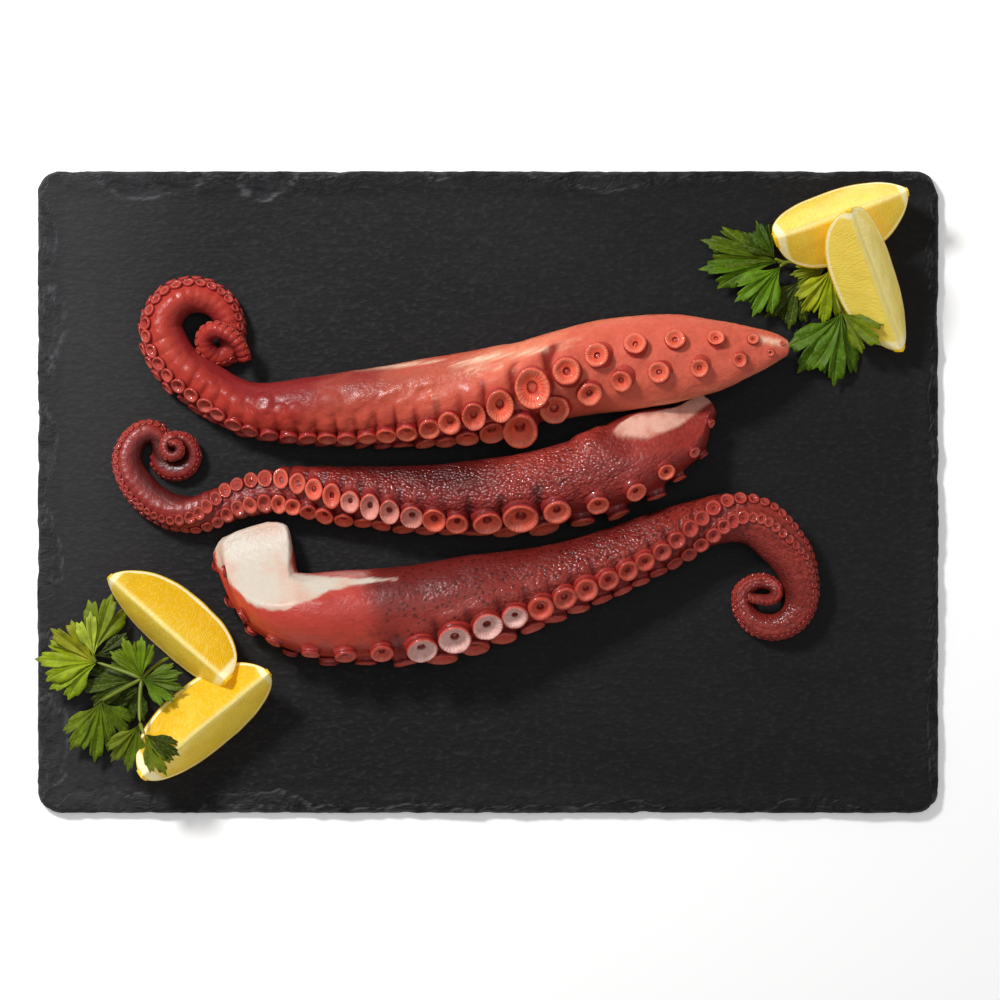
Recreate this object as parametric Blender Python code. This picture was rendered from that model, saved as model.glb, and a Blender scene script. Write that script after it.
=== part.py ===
"""Cooked octopus on slate: three boiled arms, four lemon wedges and two sprigs of flat parsley.

Lengths below are millimetres on the board: x runs along the long side of the slate, y across it,
z up from its top face. The whole is moved up by the slate's thickness and turned into metres at
the end, so that the slate's underside is at z = 0 and its middle at the origin.
"""
import math
import random

import bmesh
import bpy
import numpy as np

MM = 0.001
SLATE_LENGTH, SLATE_WIDTH, SLATE_THICK = 421.0, 300.0, 6.0
SLATE_CORNER = 9.0
SLATE_CHIP = 2.2
GAP = 0.3                # air left between pieces that touch
SINK = 1.0               # how far an arm's round underside flattens under its own weight
SAG = 0.5                # sideways spread of the suckered side where it lies on the slate
RINGS, SIDES = 42, 10
CUP_DIAMETER = 12.3      # suckers at least this wide are eight-sided cups with a rim
LEAST_SUCKER = 7.6       # smaller ones are left out of the solid

# Stations of an arm: x, y, half width across the sucker rows, half depth from back to suckers,
# turn of the suckered side (0 down, 90 left of travel, 180 up) and height of the underside.
TOP_ARM = [
    (139, 66.5, 3.0, 2.0, 178, 14), (132, 66.5, 7.0, 4.0, 184, 13), (120, 65, 11.8, 6.0, 187, 12),
    (104, 63, 16.8, 8.5, 186, 11), (86, 61.5, 20.3, 11.0, 185, 8.5), (66, 59.5, 21.5, 13.5, 180, 4.5),
    (46, 56.7, 21.2, 15.0, 166, 1), (26, 52.7, 20.0, 16.0, 148, 0), (6, 49.5, 18.8, 17.0, 125, 0),
    (-18, 46.5, 17.2, 16.5, 107, 0), (-42, 44.0, 15.3, 15.0, 90, 0), (-66, 41.8, 14.0, 13.5, 78, 0),
    (-90, 40.5, 12.7, 11.5, 74, 0), (-108, 41.0, 10.8, 9.5, 80, 0), (-120, 45.5, 9.8, 9.0, 96, 0),
    (-131, 52.0, 9.3, 9.0, 104, 0), (-142, 60.0, 9.0, 8.9, 108, 0)]
MIDDLE_ARM = [
    (103.5, 42.0, 5.5, 5.5, 96, 1), (97.5, 36.3, 8.5, 7.8, 100, 0), (89.4, 27.9, 12.0, 13.6, 108, 0),
    (71.1, 18.7, 15.0, 18.0, 110, 0), (55.7, 12.0, 16.0, 17.7, 102, 0), (37.9, 7.3, 16.0, 16.2, 101, 0),
    (18, 3.5, 15.3, 14.5, 102, 0), (-5, 1.4, 14.5, 13.2, 88, 0), (-28, 0.0, 13.3, 12.3, 98, 0),
    (-46, 0.2, 12.3, 11.6, 115, 0), (-64, 1.0, 11.3, 10.7, 128, 0), (-80, 1.8, 10.2, 9.6, 146, 0),
    (-94, 1.6, 9.0, 8.4, 172, 0), (-107, -1.2, 8.3, 7.6, 189, 0), (-118, -4.3, 7.9, 7.1, 188, 0),
    (-128, -7.4, 7.7, 7.0, 158, 0), (-138, -9, 7.5, 7.0, 127, 0), (-148, -7.2, 7.2, 7.0, 106, 0),
    (-156.5, -1.8, 6.8, 7.0, 100, 0), (-163.2, 5.8, 6.4, 6.6, 100, 0), (-166.8, 14.0, 5.8, 5.9, 98, 0),
    (-165.4, 21.2, 5.2, 5.3, 96, 0), (-161.6, 25.8, 4.7, 4.8, 92, 0), (-156.8, 27.2, 4.2, 4.5, 85, 0),
    (-153.2, 24.3, 3.7, 4.2, 70, 0), (-152.6, 19.8, 3.3, 3.8, 20, 0), (-152.2, 15.3, 3.2, 3.8, -40, 0),
    (-149.6, 11.6, 3.5, 3.8, -68, 0)]
BOTTOM_ARM = [
    (-112.5, -14.8, 6.0, 15.5, -84, 3), (-111.0, -21.5, 8.0, 18.0, -84, 1),
    (-108.0, -31.5, 12.0, 18.0, -84, 0), (-104.3, -42.0, 15.0, 16.8, -84, 0),
    (-97.3, -50.0, 17.0, 15.8, -82, 0), (-85.5, -54.5, 18.5, 17.3, -86, 0),
    (-72.0, -55.2, 19.0, 18.8, -88, 0), (-54, -54.5, 18.7, 19.0, -90, 0), (-31, -52.3, 18.3, 19.0, -98, 0),
    (-8, -47.5, 17.8, 18.3, -108, 0), (15, -42.4, 16.0, 16.0, -110, 0), (38, -36.2, 14.3, 13.8, -114, 0),
    (61, -28.5, 13.3, 12.8, -119, 0), (80, -20.5, 12.3, 11.6, -128, 0), (98, -14.5, 11.5, 10.5, -164, 0),
    (112, -12.0, 11.2, 10.3, -198, 0), (124, -14.3, 11.0, 10.6, -216, 0), (133.5, -22.5, 10.4, 10.3, -224, 0),
    (141.0, -32.5, 9.2, 9.2, -240, 0), (144.6, -43.5, 7.9, 7.5, -252, 0)]

# Rules of the suckers: distance from the cut end, spacing in a row, diameter, spread of the two
# rows in degrees and how far the cup stands out of the arm as a share of its diameter.
TOP_SUCKERS = [
    (4, 13.6, 2.5, 18, 0.25), (17.6, 17.7, 5.6, 20, 0.25), (35.3, 19.4, 7.9, 20, 0.25),
    (55, 17.8, 9.3, 19, 0.25), (72.5, 17.7, 10.8, 18, 0.28), (90, 17.2, 11.3, 19, 0.3),
    (106, 18, 12.9, 19, 0.3), (114, 16.5, 13.8, 21, 0.3), (123, 15.5, 19.5, 25, 0.3), (130, 14, 22.5, 26, 0.3),
    (137, 12, 14.8, 27, 0.35), (150, 10.5, 13.2, 24, 0.4), (175, 10, 11.2, 26, 0.5), (190, 9.5, 10.3, 27, 0.5),
    (240, 8.5, 9.0, 27, 0.5), (285, 7, 7.2, 26, 0.4), (325, 5.4, 5.6, 25, 0.3), (360, 3.8, 4.0, 25, 0.3),
    (430, 2, 1.9, 24, 0.3)]
MIDDLE_SUCKERS = [
    (10, 20.5, 4.5, 28, 0.3), (27, 14, 6.5, 30, 0.32), (38, 16, 8.3, 30, 0.35), (53, 18, 10.1, 29, 0.35),
    (67, 18, 11, 28, 0.35), (84, 16.8, 12.5, 28, 0.35), (100, 16.4, 15.9, 27, 0.33), (115.5, 13.5, 13.5, 26, 0.38),
    (128, 10.2, 12.6, 26, 0.4), (138.5, 10.7, 12.2, 28, 0.35),
    (149.5, 10.6, 12.5, 29, 0.3), (160, 9, 11.6, 31, 0.3), (177.5, 8.9, 10.3, 34, 0.3),
    (204.3, 7.4, 8.7, 37, 0.3), (223.5, 6.4, 7, 36, 0.3), (241.5, 5.4, 5.7, 35, 0.3), (254.5, 5, 5.1, 34, 0.3),
    (264.5, 3.9, 4.2, 30, 0.3), (292.5, 3.6, 3.5, 27, 0.3), (417.5, 1.3, 1.3, 25, 0.3)]
BOTTOM_SUCKERS = [
    (17, 13, 4.0, 25, 0.25), (43, 12.6, 5.0, 25, 0.25), (55.5, 14.5, 8.0, 25, 0.25), (77, 14.3, 10, 25, 0.28),
    (90, 14.6, 9.3, 25, 0.3), (99, 15.9, 12.5, 25, 0.33), (122, 15, 14.9, 27, 0.33), (137, 13.6, 13.5, 28, 0.33),
    (150, 11.8, 12.6, 28, 0.33), (174, 11, 11.9, 28, 0.3), (195, 9.4, 10.6, 29, 0.3), (213, 8.9, 9.0, 30, 0.3),
    (231, 7.6, 7.8, 27, 0.3), (245, 7.0, 6.6, 25, 0.3), (257, 5.8, 6.0, 25, 0.3), (268, 4.6, 5.1, 24, 0.3),
    (300, 3.5, 3.2, 23, 0.3), (400, 1.6, 1.5, 23, 0.3)]

LEMON_HALF_LENGTH, LEMON_RADIUS = 36.5, 27.5
# Wedges: middle x, y, height of the core line, heading, pitch, roll, half angle, length and
# radius as shares of the whole fruit's.
WEDGES = {
    "lemon_back_right": (161.4, 127.0, 27.6, 19.7, 0.0, -10.5, 39.0, 0.89, 1.0),
    "lemon_front_right": (177.4, 95.2, 32.5, 115.5, -31.0, 4.0, 30.0, 1.08, 0.92),
    "lemon_back_left": (-146.7, -62.9, 25.7, 140.2, 4.0, -15.0, 37.0, 1.0, 0.92),
    "lemon_front_left": (-128.9, -106.7, 27.6, 39.2, 0.0, 8.0, 37.0, 1.04, 1.0),
}

STEM_RADIUS = 0.9
LEAF_THICK = 0.8
# Leaves: base x, y, z, heading, length, half spread, rise to the tip, lobes.
RIGHT_LEAVES = [
    (134.5, 106.7, 5.0, 174, 38, 27, 1, 4), (133.1, 108.5, 6.2, 128, 19, 26, 2, 3),
    (135.9, 104.8, 7.0, 229, 28, 25, 3, 3), (144.7, 98.3, 2.4, 243, 23.5, 34, 0, 3),
    (159.6, 103.9, 7.6, 262, 26, 42, -5, 4), (157.4, 105.0, 4.6, 205, 18, 25, 0, 2),
    (163.9, 83.3, 7.8, 262, 36, 40, -3, 4), (163.9, 83.3, 8.0, 316, 25, 18, 17, 3)]
RIGHT_STEMS = [
    ((163, 104, 4.5), (148, 108, 3.5), (134.3, 106.6, 5)), ((139, 106.6, 4), (136, 107, 5), (133, 108.6, 6)),
    ((139, 106.6, 4), (137, 106, 5), (135.6, 104.6, 6.6)), ((152, 106.2, 3.6), (147, 102, 2.8), (144.5, 98, 2.4)),
    ((162, 104.3, 4.5), (161, 104, 7), (159.5, 103.6, 7.8)), ((160.2, 104.3, 6), (160.4, 93, 4.5), (163.8, 83.2, 7.6))]
LEFT_LEAVES = [
    (-181.0, -79.2, 10.0, 176, 27, 54, 0, 4), (-182.4, -76.7, 11.2, 93, 21, 16, 2, 2),
    (-182.2, -74.1, 10.9, 73, 26, 18, -1, 3), (-182.3, -75.7, 11.0, 14, 21, 15, -3, 2),
    (-162.5, -87.1, 8.0, 188, 27, 17, -3, 2), (-159.7, -85.7, 13.5, 115, 19.5, 42, 2, 4),
    (-159.6, -86.3, 14.2, -12, 20.5, 36, 5, 3), (-179.2, -97.2, 8.4, 250, 28, 30, -2, 3),
    (-179.1, -97.1, 8.4, 308, 19, 18, -4, 2), (-160.2, -89.8, 5.0, 233, 20, 34, -2, 3),
    (-159.8, -106.5, 21.5, 243, 25, 24, -9, 4), (-156.8, -110.3, 29.5, 298, 20.5, 14, -1, 2),
    (-156.5, -110.4, 29.3, 328, 18.5, 14, -1, 2)]
LEFT_STEMS = [
    ((-148.1, -76.9, 4.5), (-155, -80, 9), (-159.8, -86.2, 14)), ((-159.8, -86.2, 14), (-170, -82, 12), (-181.3, -78.8, 10)),
    ((-181.3, -78.8, 10), (-183, -77, 11), (-182.3, -74, 10.8)), ((-159.8, -86.2, 14), (-169, -91, 11), (-179.3, -96.9, 8)),
    ((-159.8, -86.2, 14), (-160.5, -87.5, 8), (-160.2, -90, 5)), ((-159.8, -86.2, 14), (-161.2, -86.7, 10), (-162.7, -87, 8)),
    ((-159.8, -86.2, 14), (-161, -98, 17), (-159.5, -106, 21.6)), ((-159.5, -106, 21.6), (-158.5, -108, 26), (-156.6, -110.4, 29))]

UP = np.array([0.0, 0.0, 1.0])


def clear_scene():
    for obj in list(bpy.data.objects):
        bpy.data.objects.remove(obj, do_unlink=True)


def material(name, colour, rough):
    mat = bpy.data.materials.new(name)
    mat.use_nodes = True
    shader = mat.node_tree.nodes["Principled BSDF"]
    shader.inputs["Base Color"].default_value = (*colour, 1.0)
    shader.inputs["Roughness"].default_value = rough
    return mat


def to_object(name, verts, faces, mat=None):
    """A mesh object in metres, from millimetres above the slate."""
    mesh = bpy.data.meshes.new(name)
    placed = (np.asarray(verts, float) + (0, 0, SLATE_THICK)) * MM
    mesh.from_pydata([tuple(p) for p in placed], [], [tuple(f) for f in faces])
    mesh.update()
    obj = bpy.data.objects.new(name, mesh)
    bpy.context.scene.collection.objects.link(obj)
    if mat:
        mesh.materials.append(mat)
    return obj


def weld(obj):
    """Closed faces out, split into triangles, without doubled corners."""
    bm = bmesh.new()
    bm.from_mesh(obj.data)
    bmesh.ops.remove_doubles(bm, verts=bm.verts, dist=0.000001)
    bmesh.ops.triangulate(bm, faces=bm.faces)
    bmesh.ops.recalc_face_normals(bm, faces=bm.faces)
    bm.to_mesh(obj.data)
    bm.free()


def join_solids(body, parts):
    """Unite overlapping closed solids with the body."""
    group = bpy.data.collections.new(body.name + "_parts")
    for part in parts:
        group.objects.link(part)
    union = body.modifiers.new("union", "BOOLEAN")
    union.operation, union.solver = "UNION", "EXACT"
    union.operand_type, union.collection = "COLLECTION", group
    union.use_self = True
    graph = bpy.context.evaluated_depsgraph_get()
    whole = bpy.data.meshes.new_from_object(body.evaluated_get(graph))
    body.modifiers.clear()
    body.data = whole
    for part in parts:
        bpy.data.objects.remove(part, do_unlink=True)
    bpy.data.collections.remove(group)
    weld(body)


def tube_faces(rings, sides):
    faces = [list(range(sides))[::-1], [(rings - 1) * sides + k for k in range(sides)]]
    for i in range(rings - 1):
        for k in range(sides):
            a, b = i * sides + k, i * sides + (k + 1) % sides
            faces.append([a, b, b + sides, a + sides])
    return faces


def spiral(centre, radii, angles, halves, rolls, lifts, count):
    """Stations along an arc whose radius, girth, turn and height change evenly."""
    rows = []
    for step in np.linspace(0, 1, count):
        def mix(pair):
            return pair[0] + (pair[1] - pair[0]) * step
        angle, radius, half = math.radians(mix(angles)), mix(radii), mix(halves)
        rows.append((centre[0] + radius * math.cos(angle), centre[1] + radius * math.sin(angle),
                     half, half, mix(rolls), mix(lifts)))
    return rows


def smooth_rows(stations, count):
    """Smooth curve through the stations, in steps that shorten as the arm gets thinner."""
    rows = np.array(stations, float)
    ends = np.vstack([2 * rows[0] - rows[1], rows, 2 * rows[-1] - rows[-2]])
    fine = []
    for p0, p1, p2, p3 in zip(ends, ends[1:], ends[2:], ends[3:]):
        d0, d1, d2 = (max(np.linalg.norm((b - a)[:2]), 1e-3) ** 0.5
                      for a, b in ((p0, p1), (p1, p2), (p2, p3)))
        m1 = ((p1 - p0) / d0 - (p2 - p0) / (d0 + d1) + (p2 - p1) / d1) * d1
        m2 = ((p2 - p1) / d1 - (p3 - p1) / (d1 + d2) + (p3 - p2) / d2) * d1
        for t in np.linspace(0, 1, 24, endpoint=False):
            fine.append((2 * t**3 - 3 * t**2 + 1) * p1 + (t**3 - 2 * t**2 + t) * m1
                        + (3 * t**2 - 2 * t**3) * p2 + (t**3 - t**2) * m2)
    fine = np.array(fine + [rows[-1]])
    for _ in range(6):
        fine[1:-1] = (fine[:-2] + 2 * fine[1:-1] + fine[2:]) / 4
    strides = np.linalg.norm(np.diff(fine[:, :2], axis=0), axis=1) / (fine[1:, 3] + 1.5)
    along = np.concatenate([[0], np.cumsum(strides)])
    steps = np.linspace(0, along[-1], count)
    return np.stack([np.interp(steps, along, column) for column in fine.T], 1)


def unit(vectors):
    return vectors / np.linalg.norm(vectors, axis=-1, keepdims=True)


def arm_frames(stations, count):
    """Middle line of an arm with its directions and half sizes at every step."""
    rows = smooth_rows(stations, count)
    wide, deep, turn = rows[:, 2], rows[:, 3], np.radians(rows[:, 4])
    reach = np.hypot(wide * np.sin(turn), deep * np.cos(turn))
    middle = np.stack([rows[:, 0], rows[:, 1], rows[:, 5] + reach - np.minimum(SINK, 0.1 * reach)], 1)
    ahead = unit(np.gradient(middle, axis=0))
    above = unit(UP - ahead[:, 2:] * ahead)
    left = np.cross(above, ahead)
    mouth = -np.cos(turn)[:, None] * above + np.sin(turn)[:, None] * left
    length = np.concatenate([[0], np.cumsum(np.linalg.norm(np.diff(middle, axis=0), axis=1))])
    return {"middle": middle, "mouth": mouth, "side": np.cross(ahead, mouth),
            "wide": wide, "deep": deep, "length": length}


def at(arm, key, distance):
    value = arm[key]
    if value.ndim == 1:
        return np.interp(distance, arm["length"], value)
    return np.array([np.interp(distance, arm["length"], column) for column in value.T])


def settle(points, middle, mouth, deep):
    """Spread the suckered side where it lies low and stop everything just above the slate."""
    low = np.clip((middle[2] - points[..., 2]) / middle[2], 0, 1)
    toward = np.clip((points - middle) @ mouth / deep, -1, 1)
    shift = SAG * deep * low * (0.5 + 0.5 * toward)
    moved = points + shift[..., None] * (mouth * (1, 1, 0))
    moved[..., 2] = np.maximum(moved[..., 2], GAP)
    return moved


def flesh_height_middle(points):
    """Slanting knife cut at the thick end of the middle arm."""
    x, y = points[..., 0], points[..., 1]
    return np.where(x > 45, 24 - 0.6 * (y - 25.3) - 0.12 * (x - 74), 99)


def flesh_height_bottom(points):
    """Long curved cut that opens the thick end of the bottom arm."""
    x, y = points[..., 0], points[..., 1]
    level = 33.5 - 0.8 * (y + 46.5) + 0.2 * np.minimum(x + 88, 0) + 0.08 * (x + 72)
    return np.where(x < 0, 9 + 6 * np.logaddexp(0, (level - 9) / 6), 99)


def arm_body(name, arm, cut, mat):
    around = np.linspace(0, 2 * math.pi, SIDES, endpoint=False)
    verts = []
    for i in range(len(arm["middle"])):
        middle, mouth, side = arm["middle"][i], arm["mouth"][i], arm["side"][i]
        ring = (middle + np.outer(np.cos(around) * arm["wide"][i], side)
                + np.outer(np.sin(around) * arm["deep"][i], mouth))
        ring = settle(ring, middle, mouth, arm["deep"][i])
        if cut:
            ring[:, 2] = np.maximum(np.minimum(ring[:, 2], cut(ring)), GAP)
        verts.extend(ring)
    return to_object(name, verts, tube_faces(len(arm["middle"]), SIDES), mat)


def sucker(name, foot, facing, radius, height):
    """A short cup on a narrower foot: a rimmed dish when large, a plain hollow when small."""
    across = unit(np.cross(facing, UP if abs(facing[2]) < 0.95 else (1.0, 0, 0)))
    other = np.cross(facing, across)
    profile = [(0.74, -0.7 * radius), (1.0, height)]
    sides, depth = 6, 0.35
    if 2 * radius >= CUP_DIAMETER:
        profile.append((0.62, 0.85 * height))
        sides, depth = 8, 0.6
    angles = np.linspace(0, 2 * math.pi, sides, endpoint=False)
    verts = []
    for share, level in profile:
        circle = np.outer(np.cos(angles), across) + np.outer(np.sin(angles), other)
        verts.extend(foot + facing * level + circle * share * radius)
    verts.append(foot + facing * (height - depth * radius))
    verts = np.array(verts)
    verts[:, 2] = np.maximum(verts[:, 2], GAP)
    faces = tube_faces(len(profile), sides)
    last = (len(profile) - 1) * sides
    faces[1:2] = [[last + k, last + (k + 1) % sides, last + sides] for k in range(sides)]
    return to_object(name, verts, faces)


def arm_suckers(name, arm, rule):
    """Two alternating rows along the arm, as long as the suckers are big enough to build."""
    rule = np.array(rule, float)
    cups, start = [], rule[0, 0]
    while start < arm["length"][-1]:
        spacing = np.interp(start, rule[:, 0], rule[:, 1])
        for row, distance in ((1, start), (-1, start + spacing / 2)):
            wide, spread, out = (np.interp(distance, rule[:, 0], rule[:, k]) for k in (2, 3, 4))
            if wide < LEAST_SUCKER:
                continue
            middle, mouth, side = (at(arm, key, distance) for key in ("middle", "mouth", "side"))
            half, deep, lean = at(arm, "wide", distance), at(arm, "deep", distance), math.radians(spread) * row
            facing = unit(mouth * math.cos(0.8 * lean) + side * math.sin(0.8 * lean))
            foot = middle + mouth * deep * math.cos(lean) + side * half * math.sin(lean)
            foot = settle(foot, middle, mouth, deep)
            cups.append(sucker(f"{name}_{len(cups)}", foot, facing, wide / 2, (out + 0.1) * wide))
        start += spacing
    return cups


def build_arm(name, stations, rule, cut, mat):
    arm = arm_frames(stations, RINGS)
    body = arm_body(name, arm, cut, mat)
    join_solids(body, arm_suckers(name, arm_frames(stations, 4 * RINGS), rule))
    return body


def lemon_radius(t):
    """Radius of the fruit along its length, with a nipple at one end and a blunt stem end."""
    belly = max(0.0, 1 - abs(t) ** 2.3) ** 0.62
    return LEMON_RADIUS * max(belly, 0.17 if t > 0 else 0.3)


def build_wedge(name, place, mat, steps=12, arc=5):
    x, y, height, heading, pitch, roll, half_angle, stretch, girth = place
    verts, faces = [], []
    for i in range(steps + 1):
        t = -math.cos(math.pi * i / steps)
        along, radius = t * LEMON_HALF_LENGTH * stretch, lemon_radius(t) * girth
        verts.append((along, 0, 0))
        for k in range(arc + 1):
            angle = math.radians(half_angle * (2 * k / arc - 1))
            verts.append((along, radius * math.sin(angle), -radius * math.cos(angle)))
    row = arc + 2
    for i in range(steps):
        for k in range(row):
            a, b = i * row + k, i * row + (k + 1) % row
            faces.append([a, b, b + row, a + row])
    faces += [list(range(row))[::-1], [steps * row + k for k in range(row)]]
    verts = np.array(verts)
    for angle, (a, b) in ((roll, (1, 2)), (pitch, (2, 0)), (heading, (0, 1))):
        c, s = math.cos(math.radians(angle)), math.sin(math.radians(angle))
        verts[:, [a, b]] = np.stack([c * verts[:, a] - s * verts[:, b], s * verts[:, a] + c * verts[:, b]], 1)
    verts += (x, y, height)
    verts[:, 2] = np.maximum(verts[:, 2], GAP)
    obj = to_object(name, verts, faces, mat)
    weld(obj)
    return obj


def leaf_outline(length, spread, lobes):
    """Fan of pointed lobes, each with a smaller tooth on one side, round from left to right."""
    points, half = [(-STEM_RADIUS, STEM_RADIUS)], math.radians(spread)
    step = 2 * half / lobes
    for i in range(lobes):
        middle = half - (i + 0.5) * step
        reach = length * (1 - 0.22 * abs(middle / half) ** 1.5)
        corners = [(0.34, 0.82 * reach), (-0.1, reach), (-0.5, 0.52 * length)]
        for turn, radius in corners[:3 if i < lobes - 1 else 2]:
            angle = middle + turn * step
            points.append((radius * math.cos(angle), radius * math.sin(angle)))
    return points + [(-STEM_RADIUS, -STEM_RADIUS)]


def build_leaf(name, leaf):
    x, y, z, heading, length, spread, rise, lobes = leaf
    outline = np.array(leaf_outline(length, spread, lobes))
    share = np.hypot(outline[:, 0], outline[:, 1]) / length
    level = z + rise * share
    turn = math.radians(heading)
    flat = np.stack([x + outline[:, 0] * math.cos(turn) - outline[:, 1] * math.sin(turn),
                     y + outline[:, 0] * math.sin(turn) + outline[:, 1] * math.cos(turn)], 1)
    level = np.maximum(level, GAP + LEAF_THICK)
    count = len(outline)
    verts = [(*p, h) for p, h in zip(flat, level)] + [(*p, h - LEAF_THICK) for p, h in zip(flat, level)]
    faces = [list(range(count))[::-1], list(range(count, 2 * count))]
    faces += [[k, (k + 1) % count, count + (k + 1) % count, count + k] for k in range(count)]
    obj = to_object(name, verts, faces)
    weld(obj)
    return obj


def build_stem(name, bend, mat=None, steps=4, sides=4):
    a, b, c = (np.array(p, float) for p in bend)
    verts = []
    for t in np.linspace(0, 1, steps):
        point = (1 - t) ** 2 * a + 2 * t * (1 - t) * b + t ** 2 * c
        ahead = unit(2 * (1 - t) * (b - a) + 2 * t * (c - b))
        across = unit(np.cross(ahead, UP))
        other = np.cross(across, ahead)
        for k in range(sides):
            angle = 2 * math.pi * k / sides
            verts.append(point + STEM_RADIUS * (across * math.cos(angle) + other * math.sin(angle)))
    verts = np.array(verts)
    verts[:, 2] = np.maximum(verts[:, 2], GAP)
    obj = to_object(name, verts, tube_faces(steps, sides), mat)
    weld(obj)
    return obj


def build_sprig(name, leaves, stems, mat):
    body = build_stem(name, stems[0], mat)
    parts = [build_stem(f"{name}_stem_{i}", bend) for i, bend in enumerate(stems[1:])]
    parts += [build_leaf(f"{name}_leaf_{i}", leaf) for i, leaf in enumerate(leaves)]
    join_solids(body, parts)
    return body


def build_slate(mat):
    """Split slate: flat faces, rounded corners and edges flaked away unevenly."""
    rng = random.Random(11)
    half_x, half_y, r = SLATE_LENGTH / 2, SLATE_WIDTH / 2, SLATE_CORNER
    rim = []
    for corner, (sx, sy) in enumerate(((1, 1), (-1, 1), (-1, -1), (1, -1))):
        for k in range(4):
            angle = math.radians(90 * corner + 30 * k)
            rim.append((sx * (half_x - r) + r * math.cos(angle), sy * (half_y - r) + r * math.sin(angle)))
        end = rim[-1]
        nxt = ((-1, 1), (-1, -1), (1, -1), (1, 1))[corner]
        turn = math.radians(90 * (corner + 1))
        start = (nxt[0] * (half_x - r) + r * math.cos(turn), nxt[1] * (half_y - r) + r * math.sin(turn))
        steps = 13 if corner % 2 == 0 else 9
        rim += [(end[0] + (start[0] - end[0]) * k / steps, end[1] + (start[1] - end[1]) * k / steps)
                for k in range(1, steps)]
    rim = np.array(rim)
    count = len(rim)
    inward = unit(-rim)
    verts = []
    for level, least in ((0.0, 0.7), (-0.45 * SLATE_THICK, 0.0), (-SLATE_THICK, 0.5)):
        chips = np.array([least + SLATE_CHIP * rng.random() ** 2 * (0.35 if level == -0.45 * SLATE_THICK else 1)
                          for _ in range(count)])
        verts.extend(np.column_stack([rim + inward * chips[:, None], np.full(count, level)]))
    verts = np.array(verts)
    for axis, size in ((0, half_x), (1, half_y)):
        low, high = verts[:, axis].min(), verts[:, axis].max()
        verts[:, axis] = (verts[:, axis] - (low + high) / 2) * 2 * size / (high - low)
    faces = [list(range(count)), [2 * count + k for k in range(count)][::-1]]
    for i in range(2):
        for k in range(count):
            a, b = i * count + k, i * count + (k + 1) % count
            faces.append([a, a + count, b + count, b])
    obj = to_object("slate_board", verts, faces, mat)
    weld(obj)
    return obj


def main():
    clear_scene()
    slate = material("slate", (0.03, 0.03, 0.032), 0.7)
    lemon = material("lemon", (0.8, 0.55, 0.08), 0.4)
    herb = material("parsley", (0.06, 0.13, 0.01), 0.5)
    top_end = (spiral((-137.2, 75.2), (12.0, 17.0), (-158, -368), (8.8, 5.2), (108, 96), (0, 1), 9)
               + [(-120.6, 66.6, 4.5, 4.5, 92, 1), (-125.6, 63.8, 4.0, 3.9, 90, 2),
                  (-130.0, 67.3, 3.7, 3.5, 90, 5.5), (-129.9, 71.9, 3.6, 3.5, 92, 8),
                  (-126.0, 74.2, 3.4, 3.3, 95, 10.5), (-119.6, 72.2, 3.0, 2.9, 98, 12.4),
                  (-114.6, 66.8, 2.6, 2.5, 100, 12), (-112.4, 60.0, 2.2, 2.2, 100, 9)])
    middle_end = (spiral((-144.8, 17.8), (7.5, 7.5), (262, 450), (3.8, 2.1), (-75, -95), (0, 5.4), 7)
                  + spiral((-145.4, 20.2), (4.9, 1.0), (95, 505), (2.0, 1.1), (-95, -100), (6.4, 9.6), 12))
    bottom_end = (spiral((131.2, -49), (13.7, 12.4), (-8, -190), (6.8, 3.6), (-256, -268), (0, 0), 9)
                  + [(124.3, -42.7, 3.4, 3.4, -270, 0.5), (129.7, -42.5, 3.2, 3.1, -270, 1.5),
                     (133.3, -44.8, 2.8, 2.7, -270, 3.5), (133.4, -47.6, 2.6, 2.5, -270, 5.5),
                     (130.6, -49.3, 2.4, 2.3, -270, 7), (125.3, -49.3, 2.1, 2.0, -270, 8.6),
                     (119.7, -47.8, 1.5, 1.5, -270, 9)])
    build_slate(slate)
    build_arm("arm_top", TOP_ARM + top_end, TOP_SUCKERS, None, material("arm_skin_top", (0.62, 0.14, 0.08), 0.35))
    build_arm("arm_middle", MIDDLE_ARM + middle_end, MIDDLE_SUCKERS, flesh_height_middle,
              material("arm_skin_middle", (0.42, 0.09, 0.07), 0.35))
    build_arm("arm_bottom", BOTTOM_ARM + bottom_end, BOTTOM_SUCKERS, flesh_height_bottom,
              material("arm_skin_bottom", (0.35, 0.08, 0.06), 0.35))
    for name, place in WEDGES.items():
        build_wedge(name, place, lemon)
    build_sprig("parsley_right", RIGHT_LEAVES, RIGHT_STEMS, herb)
    build_sprig("parsley_left", LEFT_LEAVES, LEFT_STEMS, herb)


main()
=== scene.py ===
"""A dish of boiled octopus arms on a slate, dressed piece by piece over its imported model.

Lengths are millimetres and metres as each name says: a piece is laid out in millimetres above the
slate's top face and written to its mesh in metres, with the slate standing on z = 0.
"""
import math
import random

import bmesh
import bpy
import numpy as np
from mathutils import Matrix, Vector, noise


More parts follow.
